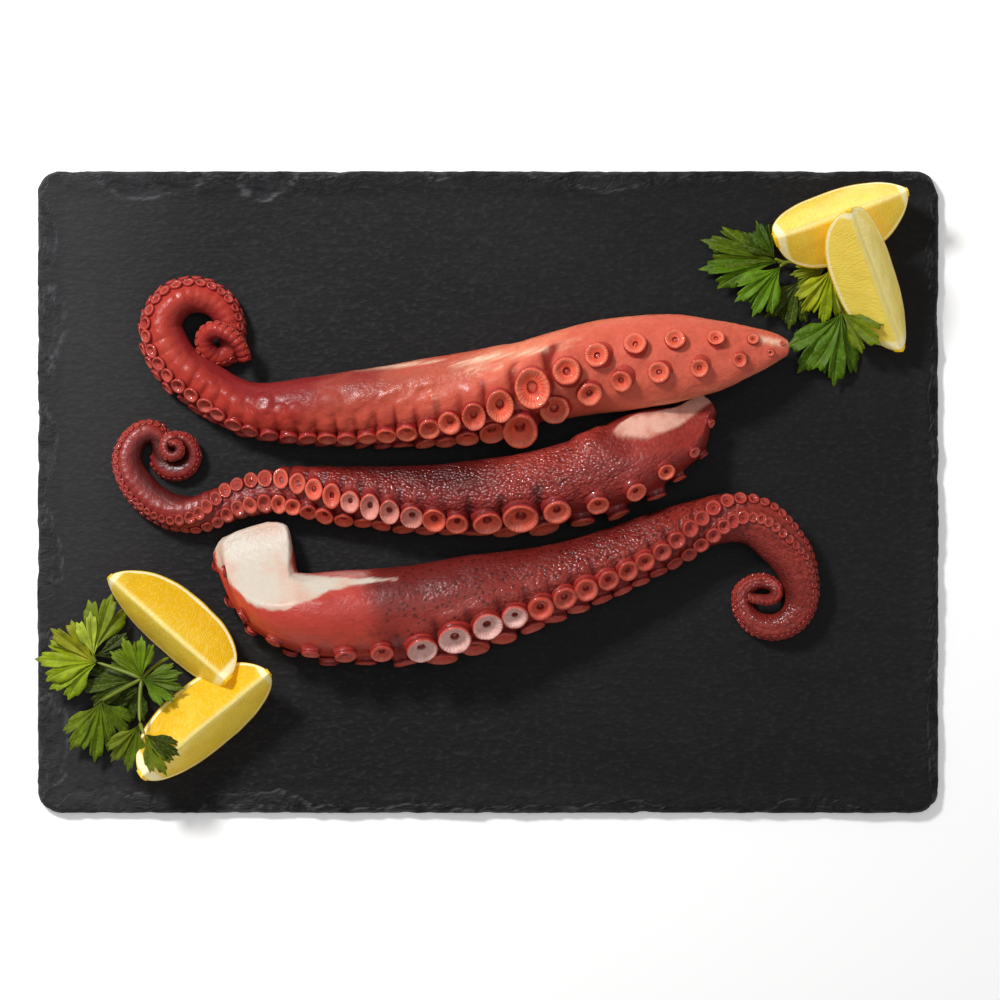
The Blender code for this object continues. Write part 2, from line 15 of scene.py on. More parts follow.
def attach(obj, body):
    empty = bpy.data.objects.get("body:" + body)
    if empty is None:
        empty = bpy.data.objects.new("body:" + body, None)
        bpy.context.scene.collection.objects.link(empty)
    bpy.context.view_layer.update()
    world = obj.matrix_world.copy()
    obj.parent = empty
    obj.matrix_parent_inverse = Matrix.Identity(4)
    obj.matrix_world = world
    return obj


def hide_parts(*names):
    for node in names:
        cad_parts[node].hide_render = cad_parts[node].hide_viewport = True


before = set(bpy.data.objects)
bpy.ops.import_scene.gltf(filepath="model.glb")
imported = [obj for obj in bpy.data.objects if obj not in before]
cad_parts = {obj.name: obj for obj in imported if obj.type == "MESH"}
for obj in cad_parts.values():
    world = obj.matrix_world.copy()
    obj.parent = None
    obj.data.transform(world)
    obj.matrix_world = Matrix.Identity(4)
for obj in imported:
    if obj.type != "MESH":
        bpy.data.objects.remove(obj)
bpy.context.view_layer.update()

# ---------------------------------------------------------------------------------------------
# Table top, light and viewpoint. The dish stands on a plain white table under one large soft
# window to the left and behind, with a little light from all round, and is seen from above.
# ---------------------------------------------------------------------------------------------
MM = 0.001
SLATE_TOP = 6.0


def tint(red, green, blue):
    """A colour as a painter's chart gives it, 0 to 255, turned into the light it sends back."""
    return tuple((c / 12.92 if c <= 0.04045 else ((c + 0.055) / 1.055) ** 2.4)
                 for c in (red / 255, green / 255, blue / 255)) + (1.0,)


class Value:
    """A quantity that varies over a piece; arithmetic on it adds Math nodes to its tree."""

    def __init__(self, tree, socket):
        self.tree, self.socket = tree, socket

    def maths(self, operation, *terms):
        return self.tree.add("ShaderNodeMath", {"operation": operation}, dict(enumerate(terms)))

    def __add__(self, other):
        return self.maths("ADD", self, other)

    def __radd__(self, other):
        return self.maths("ADD", other, self)

    def __sub__(self, other):
        return self.maths("SUBTRACT", self, other)

    def __rsub__(self, other):
        return self.maths("SUBTRACT", other, self)

    def __mul__(self, other):
        return self.maths("MULTIPLY", self, other)

    def __rmul__(self, other):
        return self.maths("MULTIPLY", other, self)

    def __truediv__(self, other):
        return self.maths("DIVIDE", self, other)

    def __rtruediv__(self, other):
        return self.maths("DIVIDE", other, self)

    def most(self, other):
        return self.maths("MAXIMUM", self, other)

    def wave(self):
        return self.maths("SINE", self)

    def between(self, low, high):
        """0 below low and 1 above high, with a smooth rise; a low above high turns it round."""
        return self.tree.add("ShaderNodeMapRange", {"interpolation_type": "SMOOTHSTEP"},
                             {"Value": self, "From Min": low, "From Max": high})


class Wiring:
    """A node tree that is built by adding one node at a time."""

    def __init__(self, tree):
        self.tree = tree

    def add(self, kind, settings=None, inputs=None, output=0):
        """A node of a kind, its settings first, then the values or links of its inputs."""
        node = self.tree.nodes.new(kind)
        for key, setting in (settings or {}).items():
            if key == "stops":
                ramp = node.color_ramp
                while len(ramp.elements) < len(setting):
                    ramp.elements.new(0.5)
                for element, (place, colour) in zip(ramp.elements, setting):
                    element.position, element.color = place, colour
            else:
                setattr(node, key, setting)
        for key, given in (inputs or {}).items():
            if isinstance(given, Value):
                self.tree.links.new(given.socket, node.inputs[key])
            else:
                node.inputs[key].default_value = given
        return Value(self, node.outputs[output])


class Look(Wiring):
    """A material whose Principled BSDF is fed by patterns on the piece itself."""

    def __init__(self, name, **finish):
        self.material = bpy.data.materials.new(name)
        self.material.use_nodes = True
        super().__init__(self.material.node_tree)
        self.surface = self.tree.nodes["Principled BSDF"]
        for key, given in finish.items():
            self.surface.inputs[key.replace("_", " ")].default_value = given
        self.place = self.add("ShaderNodeTexCoord", output="Object")

    def feed(self, key, value):
        self.tree.links.new(value.socket, self.surface.inputs[key])

    def stored(self, name, output="Fac"):
        return self.add("ShaderNodeAttribute", {"attribute_name": name}, output=output)

    def scaled(self, by, place=None):
        return self.add("ShaderNodeMapping", {}, {"Vector": place or self.place, "Scale": by})

    def cloud(self, size, detail=2.0, place=None, rough=0.5, warp=0.0):
        """Noise whose patches are about size metres across."""
        return self.add("ShaderNodeTexNoise", {}, {
            "Vector": place or self.place, "Scale": 0.6 / size,
            "Detail": detail, "Roughness": rough, "Distortion": warp})

    def cells(self, size, place=None, feature="F1"):
        """Distance from the middle, or to the edge, of cells about size metres across."""
        return self.add("ShaderNodeTexVoronoi", {"feature": feature},
                        {"Vector": place or self.place, "Scale": 1 / size}, "Distance")

    def parts(self, vector, axes):
        """The named components of a vector, one value each."""
        return [self.add("ShaderNodeSeparateXYZ", {}, {0: vector}, axis) for axis in axes]

    def mixed(self, share, one, other, blend="MIX"):
        return self.add("ShaderNodeMix", {"data_type": "RGBA", "blend_type": blend},
                        {0: share, 6: one, 7: other}, 2)

    def raised(self, height, strength, depth):
        return self.add("ShaderNodeBump", {}, {"Height": height, "Strength": strength, "Distance": depth})


def store(mesh, fields):
    """Keep values or directions on the points of a mesh, for its material or for its tree."""
    for key, values in fields.items():
        values = np.asarray(values, np.float32)
        kind, slot = ("FLOAT", "value") if values.ndim == 1 else ("FLOAT_VECTOR", "vector")
        mesh.attributes.new(key, kind, "POINT").data.foreach_set(slot, values.ravel())


def mesh_piece(name, points_mm, faces, material=None):
    """A mesh object in metres from points in millimetres above the slate's top face."""
    mesh = bpy.data.meshes.new(name)
    placed = (np.asarray(points_mm, float) + (0, 0, SLATE_TOP)) * MM
    mesh.from_pydata(placed.tolist(), [], [tuple(int(i) for i in f) for f in faces])
    mesh.validate()
    if material:
        mesh.materials.append(material)
    piece = bpy.data.objects.new(name, mesh)
    bpy.context.scene.collection.objects.link(piece)
    mesh.shade_smooth()
    return piece


TABLE_HALF = 1500
paper = Look("white_table", Roughness=0.9, Emission_Color=(1, 1, 1, 1), Emission_Strength=0.2)
paper.feed("Base Color", paper.mixed(paper.cloud(0.3), (1.0, 1.0, 1.0, 1), (0.985, 0.985, 0.98, 1)))
corners = [(x * TABLE_HALF, y * TABLE_HALF, -SLATE_TOP) for x, y in ((-1, -1), (1, -1), (1, 1), (-1, 1))]
table = mesh_piece("table", corners, [(0, 1, 2, 3)], paper.material)

VIEWED_FROM = (5.6, -3.7, 1302.0)
lens = bpy.data.cameras.new("viewpoint")
lens.lens, lens.sensor_width = 100.0, 36.0
viewpoint = bpy.data.objects.new("viewpoint", lens)
viewpoint.location = [place * MM for place in VIEWED_FROM]
bpy.context.scene.collection.objects.link(viewpoint)
bpy.context.scene.camera = viewpoint


def soft_box(name, place, width, power):
    """A lamp with a wide face, places in metres and power in watts, turned to the slate's middle."""
    lamp = bpy.data.lights.new(name, "AREA")
    lamp.shape, lamp.size, lamp.size_y, lamp.energy = "RECTANGLE", width[0], width[1], power
    box = bpy.data.objects.new(name, lamp)
    box.location = place
    box.rotation_euler = (-Vector(place)).to_track_quat("-Z", "Y").to_euler()
    bpy.context.scene.collection.objects.link(box)


soft_box("window", (-0.6, 0.66, 0.88), (0.22, 0.19), 13.4)
soft_box("ceiling", (0.25, 0.1, 1.7), (1.2, 1.0), 3.6)
room = bpy.data.worlds.new("room")
room.use_nodes = True
all_round = room.node_tree.nodes["Background"].inputs
all_round["Color"].default_value = (1.0, 1.0, 1.0, 1.0)
all_round["Strength"].default_value = 0.28
bpy.context.scene.world = room
bpy.context.scene.view_settings.view_transform = "Standard"

# ---------------------------------------------------------------------------------------------
# The slate. One leaf of grey-black stone, split along its grain so that both faces are nearly
# flat, and trimmed by knocking flakes off all round, which leaves shell-shaped steps at the rim.
# ---------------------------------------------------------------------------------------------
SLATE_HALF = (210.5, 150.0)
SLATE_CORNER = 11.0
FLAKED_BAND = 22
DEEPEST_FLAKE = 2.6
SMALL_FLAKES = 150
# Large flakes: place on the rim, half length along it, reach inwards and depth.
BIG_FLAKES = [
    (-160, 150, 24, 13, 1.7), (-104, 150, 13, 15, 1.3), (58, 150, 26, 10, 1.5), (150, 150, 20, 4, 1.0),
    (-210.5, 120, 17, 9, 1.6), (-210.5, 78, 22, 13, 1.5), (-210.5, 20, 16, 9, 1.6),
    (-210.5, -28, 20, 11, 1.3), (-210.5, -80, 15, 12, 1.5), (-210.5, -118, 24, 14, 1.4),
    (-178, -150, 24, 12, 1.3), (-112, -150, 26, 10, 1.2), (-30, -150, 22, 5, 1.0), (60, -150, 26, 6, 1.0),
    (150, -150, 24, 7, 1.1), (210.5, -100, 26, 6, 1.1), (210.5, 40, 24, 5, 1.2), (210.5, 108, 18, 6, 1.0)]


def grain(points, size, seed, octaves=1):
    """Noise read at many points, in their own units, about -1 to 1."""
    shift = Vector((seed * 7.31, seed * 3.77, seed * 5.13))
    total = np.zeros(len(points))
    for octave in range(octaves):
        scale = 2 ** octave / size
        total += np.array([noise.noise(Vector(p) * scale + shift) for p in points]) / 2 ** octave
    return total


def flat_grain(places, height, size, seed, octaves):
    """The same noise read at places on a level sheet."""
    return grain(np.column_stack([places, np.full(len(places), height)]), size, seed, octaves)


def ease(values, low, high):
    """0 below low and 1 above high, with a smooth rise between."""
    t = np.clip((values - low) / (high - low), 0, 1)
    return t * t * (3 - 2 * t)


def packed_lines(half, band=24.0, fine=0.75, coarse=2.0):
    """Grid lines that crowd together near the rim, where the flakes are."""
    edge = np.arange(half - band, half + 1e-6, fine)
    middle = np.linspace(-(half - band), half - band, int(2 * (half - band) / coarse))
    return np.concatenate([-edge[::-1], middle[1:-1], edge])


def rounded(points):
    """Draw the square corners of a grid into round ones."""
    core = np.array(SLATE_HALF) - SLATE_CORNER
    over = np.maximum(np.abs(points) - core, 0) / SLATE_CORNER
    both = (over > 0).all(1)
    reach = np.maximum(np.linalg.norm(over[both], axis=1), 1e-9)
    pulled = over[both] * (over[both].max(1) / reach)[:, None]
    bent = points.copy()
    bent[both] = np.sign(points[both]) * (core + pulled * SLATE_CORNER)
    return bent


half_x, half_y = SLATE_HALF
xs, ys = packed_lines(half_x), packed_lines(half_y)
flat_grid = np.array([(x, y) for x in xs for y in ys])
from_rim = np.minimum(half_x - np.abs(flat_grid[:, 0]), half_y - np.abs(flat_grid[:, 1]))
top_face = rounded(flat_grid)
chance = random.Random(5)
flakes = list(BIG_FLAKES)
for _ in range(SMALL_FLAKES):
    walk = chance.uniform(0, 4 * (half_x + half_y))
    if walk < 4 * half_x:
        at_rim = (walk % (2 * half_x) - half_x, half_y if walk < 2 * half_x else -half_y)
    else:
        walk -= 4 * half_x
        at_rim = (half_x if walk < 2 * half_y else -half_x, walk % (2 * half_y) - half_y)
    flakes.append((*at_rim, chance.uniform(3, 11), chance.uniform(1.2, 5.0), chance.uniform(0.5, 1.6)))
near_rim = from_rim < FLAKED_BAND
rim_points = top_face[near_rim]
wander = flat_grain(rim_points, 0, 7.0, 3, 3)
drop, ledge = np.zeros(len(rim_points)), np.zeros(len(rim_points))
for x, y, along, inward, depth in flakes:
    u, v = (rim_points - (x, y)).T
    if abs(abs(x) - half_x) < 1:
        u, v = v, u
    q = np.hypot(u / along, v / inward) + 0.28 * wander
    fallen = depth * (0.55 * ease(-q, -1.0, -0.9) + 0.45 * ease(-q, -0.72, -0.5))
    drop = np.maximum(drop, fallen)
    ledge = np.maximum(ledge, ease(-q, -1.02, -0.97) * (0.12 + 0.88 * ease(q, 0.9, 0.96)))
heights = np.zeros(len(top_face))
heights[near_rim] = -np.minimum(drop, DEEPEST_FLAKE)
# Where the ledges and the rim are painted lighter: partly freshly broken stone, partly a painted highlight.
flaked = np.zeros(len(top_face))
flaked[near_rim] = ledge
flaked = np.maximum(flaked, 0.7 * ease(-from_rim, -1.6, -0.4))
heights -= 0.7 * ease(-from_rim, -1.3, -0.2)
heights -= 0.12 * (1 + flat_grain(top_face / (2.2, 1), 0, 26.0, 8, 2))
inset = 1.5 * np.abs(flat_grain(top_face, 0, 16.0, 2, 3)) * ease(-from_rim, -5.0, 0.0)
top_face -= top_face / np.linalg.norm(top_face, axis=1)[:, None] * inset[:, None]
rows, columns = len(xs), len(ys)
quads = [(i * columns + k, (i + 1) * columns + k, (i + 1) * columns + k + 1, i * columns + k + 1)
         for i in range(rows - 1) for k in range(columns - 1)]
rim = ([k * columns for k in range(rows)] + [(rows - 1) * columns + k for k in range(1, columns)]
       + [k * columns + columns - 1 for k in range(rows - 2, -1, -1)] + list(range(columns - 2, 0, -1)))
points = np.column_stack([top_face, heights])
# The broken sides: share of the way down and how far each ring of the side stands out.
above = rim
for share, outward in ((0.35, 0.9), (0.6, 0.5), (0.85, 0.8), (1.0, 0.0)):
    ring = points[rim].copy()
    roughness = flat_grain(ring[:, :2], 40 * share, 5.0, 6, 3)
    push = np.minimum(outward * (0.6 + roughness), 0.9 * inset[rim] + 0.15)
    ring[:, :2] *= (1 + push / np.linalg.norm(ring[:, :2], axis=1))[:, None]
    ring[:, :2] = np.clip(ring[:, :2], -np.array(SLATE_HALF), SLATE_HALF)
    ring[:, 2] = ring[:, 2] * (1 - share) - SLATE_TOP * share
    below = list(range(len(points), len(points) + len(rim)))
    points = np.vstack([points, ring])
    quads += [(above[k], above[k - 1], below[k - 1], below[k]) for k in [*range(1, len(rim)), 0]]
    above = below
quads.append(tuple(above)[::-1])

stone = Look("split_slate", Roughness=0.6, Specular_IOR_Level=0.2)
streaks = stone.cloud(0.0016, 3.0, stone.scaled((0.22, 1.0, 1.0)), 0.6)
patches = stone.cloud(0.05, 3.0, stone.scaled((0.5, 1.0, 1.0)), 0.55)
speckle = stone.cloud(0.0011, 3.0, stone.scaled((0.6, 1.0, 1.0)))
fresh = stone.stored("flaked")
grey = stone.mixed(patches.between(0.35, 0.7), tint(18, 17, 19), tint(28, 27, 28))
grey = stone.mixed(streaks.between(0.45, 0.75) * 0.14, grey, tint(60, 58, 60))
grey = stone.mixed(speckle.between(0.52, 0.7) * 0.3, grey, tint(62, 60, 62))
grey = stone.mixed(speckle.between(0.48, 0.3) * 0.5, grey, tint(12, 11, 13))
# Lighter grey along the flake ledges and the rim: partly the paler colour of freshly broken stone, partly a
# painted highlight where the ledges catch the light.
grey = stone.mixed(fresh * stone.cloud(0.006, 3.0).between(0.36, 0.6) * 0.5, grey, tint(104, 104, 108))
across, = stone.parts(stone.place, "X")
# Painted light: the left end of the slate is painted lighter and the right end darker, standing in for the
# fall of the window's light across it.
grey = stone.mixed(across.between(-0.12, -0.2) * 0.3, grey, tint(70, 68, 70))
grey = stone.mixed(across.between(-0.05, 0.1) * 0.35, grey, tint(14, 14, 16))
stone.feed("Base Color", grey)
stone.feed("Roughness", 0.5 + 0.22 * speckle)
torn = stone.stored("rimward") * stone.cloud(0.006, 5.0, stone.scaled((0.7, 1.0, 1.0)), 0.65, 1.2)
stone.feed("Normal", stone.raised(0.5 * streaks + 0.8 * patches + 0.8 * speckle + 14.0 * torn, 0.5, 0.0007))
slate = mesh_piece("slate", points, quads, stone.material)
sides = np.full(len(points) - len(top_face), 0.45)
rimward = ease(-from_rim, -14, -2) * (0.35 + 0.65 * (heights < -0.5))
store(slate.data, {"flaked": np.append(flaked, sides), "rimward": np.append(rimward, sides)})
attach(slate, "root")
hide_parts("slate_board")

# ---------------------------------------------------------------------------------------------
# The top arm. A whole octopus arm, boiled until it set in this curve: a solid rod of muscle in
# thin coral skin, with two rows of suckers along the side that faced the mouth. Its thick end
# was cut to a flat blade and its tip has rolled up on itself twice.
# ---------------------------------------------------------------------------------------------
GAP = 0.3  # left between food and slate
SINK = 1.0  # how far an arm settles under its own weight
SAG = 0.5  # how far its suckered side spreads, as a share of its depth
ARM_RINGS, SKIN_FACES = 440, 96  # sections along an arm and faces round it
UP = np.array([0.0, 0.0, 1.0])

# Stations: x, y, half width across the sucker rows, half depth from back to suckers, turn of the
# suckered side (0 down, 90 left of travel, 180 up) and height of the underside.
TOP_ARM = [
    (139, 66.5, 3.0, 2.0, 178, 14), (132, 66.5, 7.0, 4.0, 184, 13), (120, 65, 11.8, 6.0, 187, 12),
    (104, 63, 16.8, 8.5, 186, 11), (86, 61.5, 20.3, 11.0, 185, 8.5), (66, 59.5, 21.5, 13.5, 180, 4.5),
    (46, 56.7, 21.2, 15.0, 166, 1), (26, 52.7, 20.0, 16.0, 148, 0), (6, 49.5, 18.8, 17.0, 125, 0),
    (-18, 46.5, 17.2, 16.5, 107, 0), (-42, 44.0, 15.3, 15.0, 90, 0), (-66, 41.8, 14.0, 13.5, 78, 0),
    (-90, 40.5, 12.7, 11.5, 74, 0), (-108, 41.0, 10.8, 9.5, 80, 0), (-120, 45.5, 9.8, 9.0, 96, 0),
    (-131, 52.0, 9.3, 9.0, 104, 0), (-142, 60.0, 9.0, 8.9, 108, 0)]
# Suckers: distance from the cut end, spacing in a row, diameter, spread of the rows in degrees
# and how far a cup stands out of the arm as a share of its diameter.
TOP_SUCKERS = [
    (4, 13.6, 2.5, 18, 0.25), (17.6, 17.7, 5.6, 20, 0.25), (35.3, 19.4, 7.9, 20, 0.25),
    (55, 17.8, 9.3, 19, 0.25), (72.5, 17.7, 10.8, 18, 0.28), (90, 17.2, 11.3, 19, 0.3),
    (106, 18, 12.9, 19, 0.3), (114, 16.5, 13.8, 21, 0.3), (123, 15.5, 19.5, 25, 0.3),
    (130, 14, 22.5, 26, 0.3), (137, 12, 14.8, 27, 0.35), (150, 10.5, 13.2, 24, 0.4),
    (175, 10, 11.2, 26, 0.5), (190, 9.5, 10.3, 27, 0.5), (240, 8.5, 9.0, 27, 0.5), (285, 7, 7.2, 26, 0.5),
    (325, 5.4, 5.6, 25, 0.45), (360, 3.8, 4.0, 25, 0.4), (430, 2, 1.9, 24, 0.3)]
# How far the mouths of the cups are lifted: distance and share.
TOP_LIFTED = [(90, 0), (115, 0.6), (160, 0.5), (185, 0.35), (300, 0.35), (350, 0.15)]


def curled(centre, radii, angles, halves, turns, lifts, count):
    """Stations along an arc whose radius, girth, turn and height change evenly."""
    def run(pair):
        return np.linspace(*pair, count)
    angle, radius, half = np.radians(run(angles)), run(radii), run(halves)
    return list(zip(centre[0] + radius * np.cos(angle), centre[1] + radius * np.sin(angle),
                    half, half, run(turns), run(lifts)))


def smooth_line(stations, count):
    """Smooth curve through the stations, in steps that shorten as the arm gets thinner."""
    rows = np.array(stations, float)
    ends = np.vstack([2 * rows[0] - rows[1], rows, 2 * rows[-1] - rows[-2]])
    fine = []
    for p0, p1, p2, p3 in zip(ends, ends[1:], ends[2:], ends[3:]):
        d0, d1, d2 = (max(np.linalg.norm((b - a)[:2]), 1e-3) ** 0.5
                      for a, b in ((p0, p1), (p1, p2), (p2, p3)))
        m1 = ((p1 - p0) / d0 - (p2 - p0) / (d0 + d1) + (p2 - p1) / d1) * d1
        m2 = ((p2 - p1) / d1 - (p3 - p1) / (d1 + d2) + (p3 - p2) / d2) * d1
        for t in np.linspace(0, 1, 24, endpoint=False):
            fine.append((2 * t**3 - 3 * t**2 + 1) * p1 + (t**3 - 2 * t**2 + t) * m1
                        + (3 * t**2 - 2 * t**3) * p2 + (t**3 - t**2) * m2)
    fine = np.array(fine + [rows[-1]])
    for _ in range(6):
        fine[1:-1] = (fine[:-2] + 2 * fine[1:-1] + fine[2:]) / 4
    strides = np.linalg.norm(np.diff(fine[:, :2], axis=0), axis=1) / (fine[1:, 3] + 1.5)
    along = np.concatenate([[0], np.cumsum(strides)])
    steps = np.linspace(0, along[-1], count)
    return np.stack([np.interp(steps, along, column) for column in fine.T], 1)


def unit(vectors):
    """Directions one unit long."""
    return vectors / np.maximum(np.linalg.norm(vectors, axis=-1, keepdims=True), 1e-9)


def arm_line(stations, count):
    """Middle line of an arm with its directions and half sizes at every step."""
    rows = smooth_line(stations, count)
    wide, deep, turn = rows[:, 2], rows[:, 3], np.radians(rows[:, 4])
    reach = np.hypot(wide * np.sin(turn), deep * np.cos(turn))
    middle = np.stack([rows[:, 0], rows[:, 1], rows[:, 5] + reach - np.minimum(SINK, 0.1 * reach)], 1)
    ahead = unit(np.gradient(middle, axis=0))
    above = unit(UP - ahead[:, 2:] * ahead)
    left = np.cross(above, ahead)
    mouth = -np.cos(turn)[:, None] * above + np.sin(turn)[:, None] * left
    length = np.concatenate([[0], np.cumsum(np.linalg.norm(np.diff(middle, axis=0), axis=1))])
    return {"middle": middle, "mouth": mouth, "ahead": ahead, "side": np.cross(ahead, mouth),
            "wide": wide, "deep": deep, "length": length}


def at(line, key, distance):
    """A direction, place or size of the arm at a distance along it."""
    columns = np.atleast_2d(line[key].T)
    found = np.array([np.interp(distance, line["length"], column) for column in columns])
    return found[0] if line[key].ndim == 1 else found.T


def lie_down(points, middle, mouth, deep):
    """Spread the suckered side where it lies low and stop everything just above the slate."""
    low = np.clip((middle[..., 2] - points[..., 2]) / middle[..., 2], 0, 1)
    toward = np.clip(((points - middle) * mouth).sum(-1) / deep, -1, 1)
    shift = SAG * deep * low * (0.5 + 0.5 * toward)
    moved = points + shift[..., None] * (mouth * (1, 1, 0))
    moved[..., 2] = np.maximum(moved[..., 2], GAP)
    return moved


def modified(piece, tree, values):
    """Run a Geometry Nodes tree on a piece and keep the result as a plain mesh."""
    layer = piece.modifiers.new("made", "NODES")
    layer.node_group = tree
    for socket in tree.interface.items_tree:
        if getattr(socket, "in_out", "") == "INPUT" and socket.name in values:
            layer[socket.identifier] = values[socket.name]
    graph = bpy.context.evaluated_depsgraph_get()
    graph.update()
    made = bpy.data.meshes.new_from_object(piece.evaluated_get(graph))
    piece.modifiers.clear()
    piece.data = made
    return piece


def started(name, sockets):
    """A Geometry Nodes tree with its named inputs, and the wiring to fill it."""
    tree = bpy.data.node_groups.new(name, "GeometryNodeTree")
    tree.interface.new_socket("Geometry", in_out="INPUT", socket_type="NodeSocketGeometry")
    tree.interface.new_socket("Geometry", in_out="OUTPUT", socket_type="NodeSocketGeometry")
    for label, kind, usual in sockets:
        socket = tree.interface.new_socket(label, in_out="INPUT", socket_type=kind)
        if usual is not None:
            socket.default_value = usual
    wiring = Wiring(tree)
    entry = tree.nodes.new("NodeGroupInput")
    return wiring, {socket.name: Value(wiring, socket) for socket in entry.outputs if socket.name}


def finished(wiring, geometry, material):
    """Close a tree as every one here ends: instances made real, material set."""
    real = wiring.add("GeometryNodeRealizeInstances", {}, {0: geometry})
    dressed = wiring.add("GeometryNodeSetMaterial", {}, {"Geometry": real, "Material": material})
    leave = wiring.tree.nodes.new("NodeGroupOutput")
    wiring.tree.links.new(dressed.socket, leave.inputs[0])
    return wiring.tree


def rod_tree():
    """Skins a row of section centres, each with its directions and half sizes, as one tube."""
    w, given = started("rod_skin", [("Rings", "NodeSocketInt", 100), ("Around", "NodeSocketInt", 32),
                                    ("Material", "NodeSocketMaterial", None)])
    grid = w.add("GeometryNodeMeshGrid", {}, {"Size X": 1.0, "Size Y": 1.0, "Vertices X": given["Rings"],
                                              "Vertices Y": given["Around"] + 1})
    index = w.add("GeometryNodeInputIndex")
    turns = (index + 0.5) / (given["Around"] + 1)
    ring = turns.maths("FLOOR", turns)
    step = index - ring * (given["Around"] + 1)
    angle = step / given["Around"] * (2 * math.pi)
    cosine, sine = angle.maths("COSINE", angle), angle.wave()

    def section(name, kind):
        if name == "position":
            read = w.add("GeometryNodeInputPosition")
        else:
            read = w.add("GeometryNodeInputNamedAttribute", {"data_type": kind}, {"Name": name})
        return w.add("GeometryNodeSampleIndex", {"data_type": kind},
                     {"Geometry": given["Geometry"], "Value": read, "Index": ring})

    def stretched(direction, by):
        return w.add("ShaderNodeVectorMath", {"operation": "SCALE"}, {0: direction, "Scale": by})

    out = w.add("ShaderNodeVectorMath", {"operation": "ADD"}, {
        0: stretched(section("side", "FLOAT_VECTOR"), cosine * section("wide", "FLOAT")),
        1: stretched(section("mouth", "FLOAT_VECTOR"), sine * section("deep", "FLOAT"))})
    place = w.add("ShaderNodeVectorMath", {"operation": "ADD"},
                  {0: section("position", "FLOAT_VECTOR"), 1: out})
    shaped = w.add("GeometryNodeSetPosition", {}, {"Geometry": grid, "Position": place})
    bearing = w.add("ShaderNodeCombineXYZ", {}, {"X": cosine, "Y": sine, "Z": ring})
    marked = w.add("GeometryNodeStoreNamedAttribute", {"data_type": "FLOAT_VECTOR", "domain": "POINT"},
                   {"Geometry": shaped, "Name": "bearing", "Value": bearing})
    closed = w.add("GeometryNodeMergeByDistance", {}, {"Geometry": marked, "Distance": 0.000002})
    return finished(w, closed, given["Material"])


ROD_SKIN = rod_tree()


def stored_points(name, points_mm, fields):
    """Loose points that carry the sizes and directions of what is built on them."""
    piece = mesh_piece(name, points_mm, [])
    store(piece.data, fields)
    return piece


def stored_on(piece, key):
    """The directions kept on a piece's points under a name."""
    values = np.zeros(len(piece.data.vertices) * 3, np.float32)
    piece.data.attributes[key].data.foreach_get("vector", values)
    return values.reshape(-1, 3).astype(float)


def laid_out(piece):
    """The points of a piece in millimetres above the slate's top face."""
    return stored_on(piece, "position") / MM - (0, 0, SLATE_TOP)


def rod(name, line, around, material):
    """A closed tube along a line of sections, with its first and last ring drawn to a point."""
    wide, deep = line["wide"].copy(), line["deep"].copy()
    for size in (wide, deep):
        for ring, share in enumerate((0, 0.55, 0.82, 0.95)):
            size[[ring, -1 - ring]] *= share
    piece = stored_points(name, line["middle"], {"side": line["side"], "mouth": line["mouth"],
                                                 "wide": wide * MM, "deep": deep * MM})
    return modified(piece, ROD_SKIN, {"Rings": len(wide), "Around": around, "Material": material})


def write_back(piece, points_mm, fields):
    """Store moved points and the masks that the material reads, with the faces turned out."""
    mesh = piece.data
    placed = (points_mm + (0, 0, SLATE_TOP)) * MM
    mesh.vertices.foreach_set("co", placed.astype(np.float32).ravel())
    for key in [a.name for a in mesh.attributes if a.name in ("bearing", "facing", "across", "size")]:
        mesh.attributes.remove(mesh.attributes[key])
    store(mesh, fields)
    work = bmesh.new()
    work.from_mesh(mesh)
    bmesh.ops.recalc_face_normals(work, faces=work.faces)
    work.to_mesh(mesh)
    work.free()
    mesh.shade_smooth()
    mesh.update()


def sucker_places(line, rule, lifted, seed):
    """Feet, directions and sizes of the two alternating rows of suckers. Where they crowd they are
    narrow along the arm and packed is 1; tone is how fresh a cup's colour is."""
    rule, chance = np.array(rule, float), random.Random(seed)

    def foot_at(distance, lean):
        middle, mouth, side = (at(line, key, distance) for key in ("middle", "mouth", "side"))
        half, deep = at(line, "wide", distance), at(line, "deep", distance)
        foot = middle + mouth * deep * math.cos(lean) + side * half * math.sin(lean)
        return lie_down(foot, middle, mouth, deep)

    cups, start = [], rule[0, 0]
    while start < line["length"][-1] - 0.5:
        spacing, stretch = np.interp(start, rule[:, 0], rule[:, 1]), 1.0
        for row, distance in ((1, start), (-1, start + 0.44 * spacing)):
            if distance > line["length"][-1] - 0.4:
                continue
            wide, spread, out = (np.interp(distance, rule[:, 0], rule[:, k]) for k in (2, 3, 4))
            mouth, side, ahead = (at(line, key, distance) for key in ("mouth", "side", "ahead"))
            lean = math.radians(spread) * row
            stretch = max(0.8, np.linalg.norm(foot_at(distance + 1, lean) - foot_at(distance - 1, lean)) / 2)
            packed = float(np.clip((wide / spacing - 0.72) / 0.22, 0, 1))
            facing = unit(mouth * math.cos(0.8 * lean) + side * math.sin(0.8 * lean)
                          + UP * np.interp(distance, *zip(*lifted))
                          + ahead * chance.uniform(-0.14, 0.14) + side * chance.uniform(-0.1, 0.1))
            wide *= chance.uniform(0.94, 1.05)
            tone = chance.uniform(0.3, 1.0) * float(1 - 0.85 * ease(distance, 175, 240))
            cups.append({
                "foot": foot_at(distance, lean), "facing": facing, "wide": wide,
                "ahead": unit(ahead - facing * (ahead @ facing)), "narrow": min(1.0, 1.03 * spacing / wide),
                "stand": (out + 0.1) * wide, "distance": distance, "row": row, "tone": tone,
                "packed": packed, "bearing": math.pi / 2 - lean})
        start += spacing / max(1.0, stretch) ** 0.9
    return cups


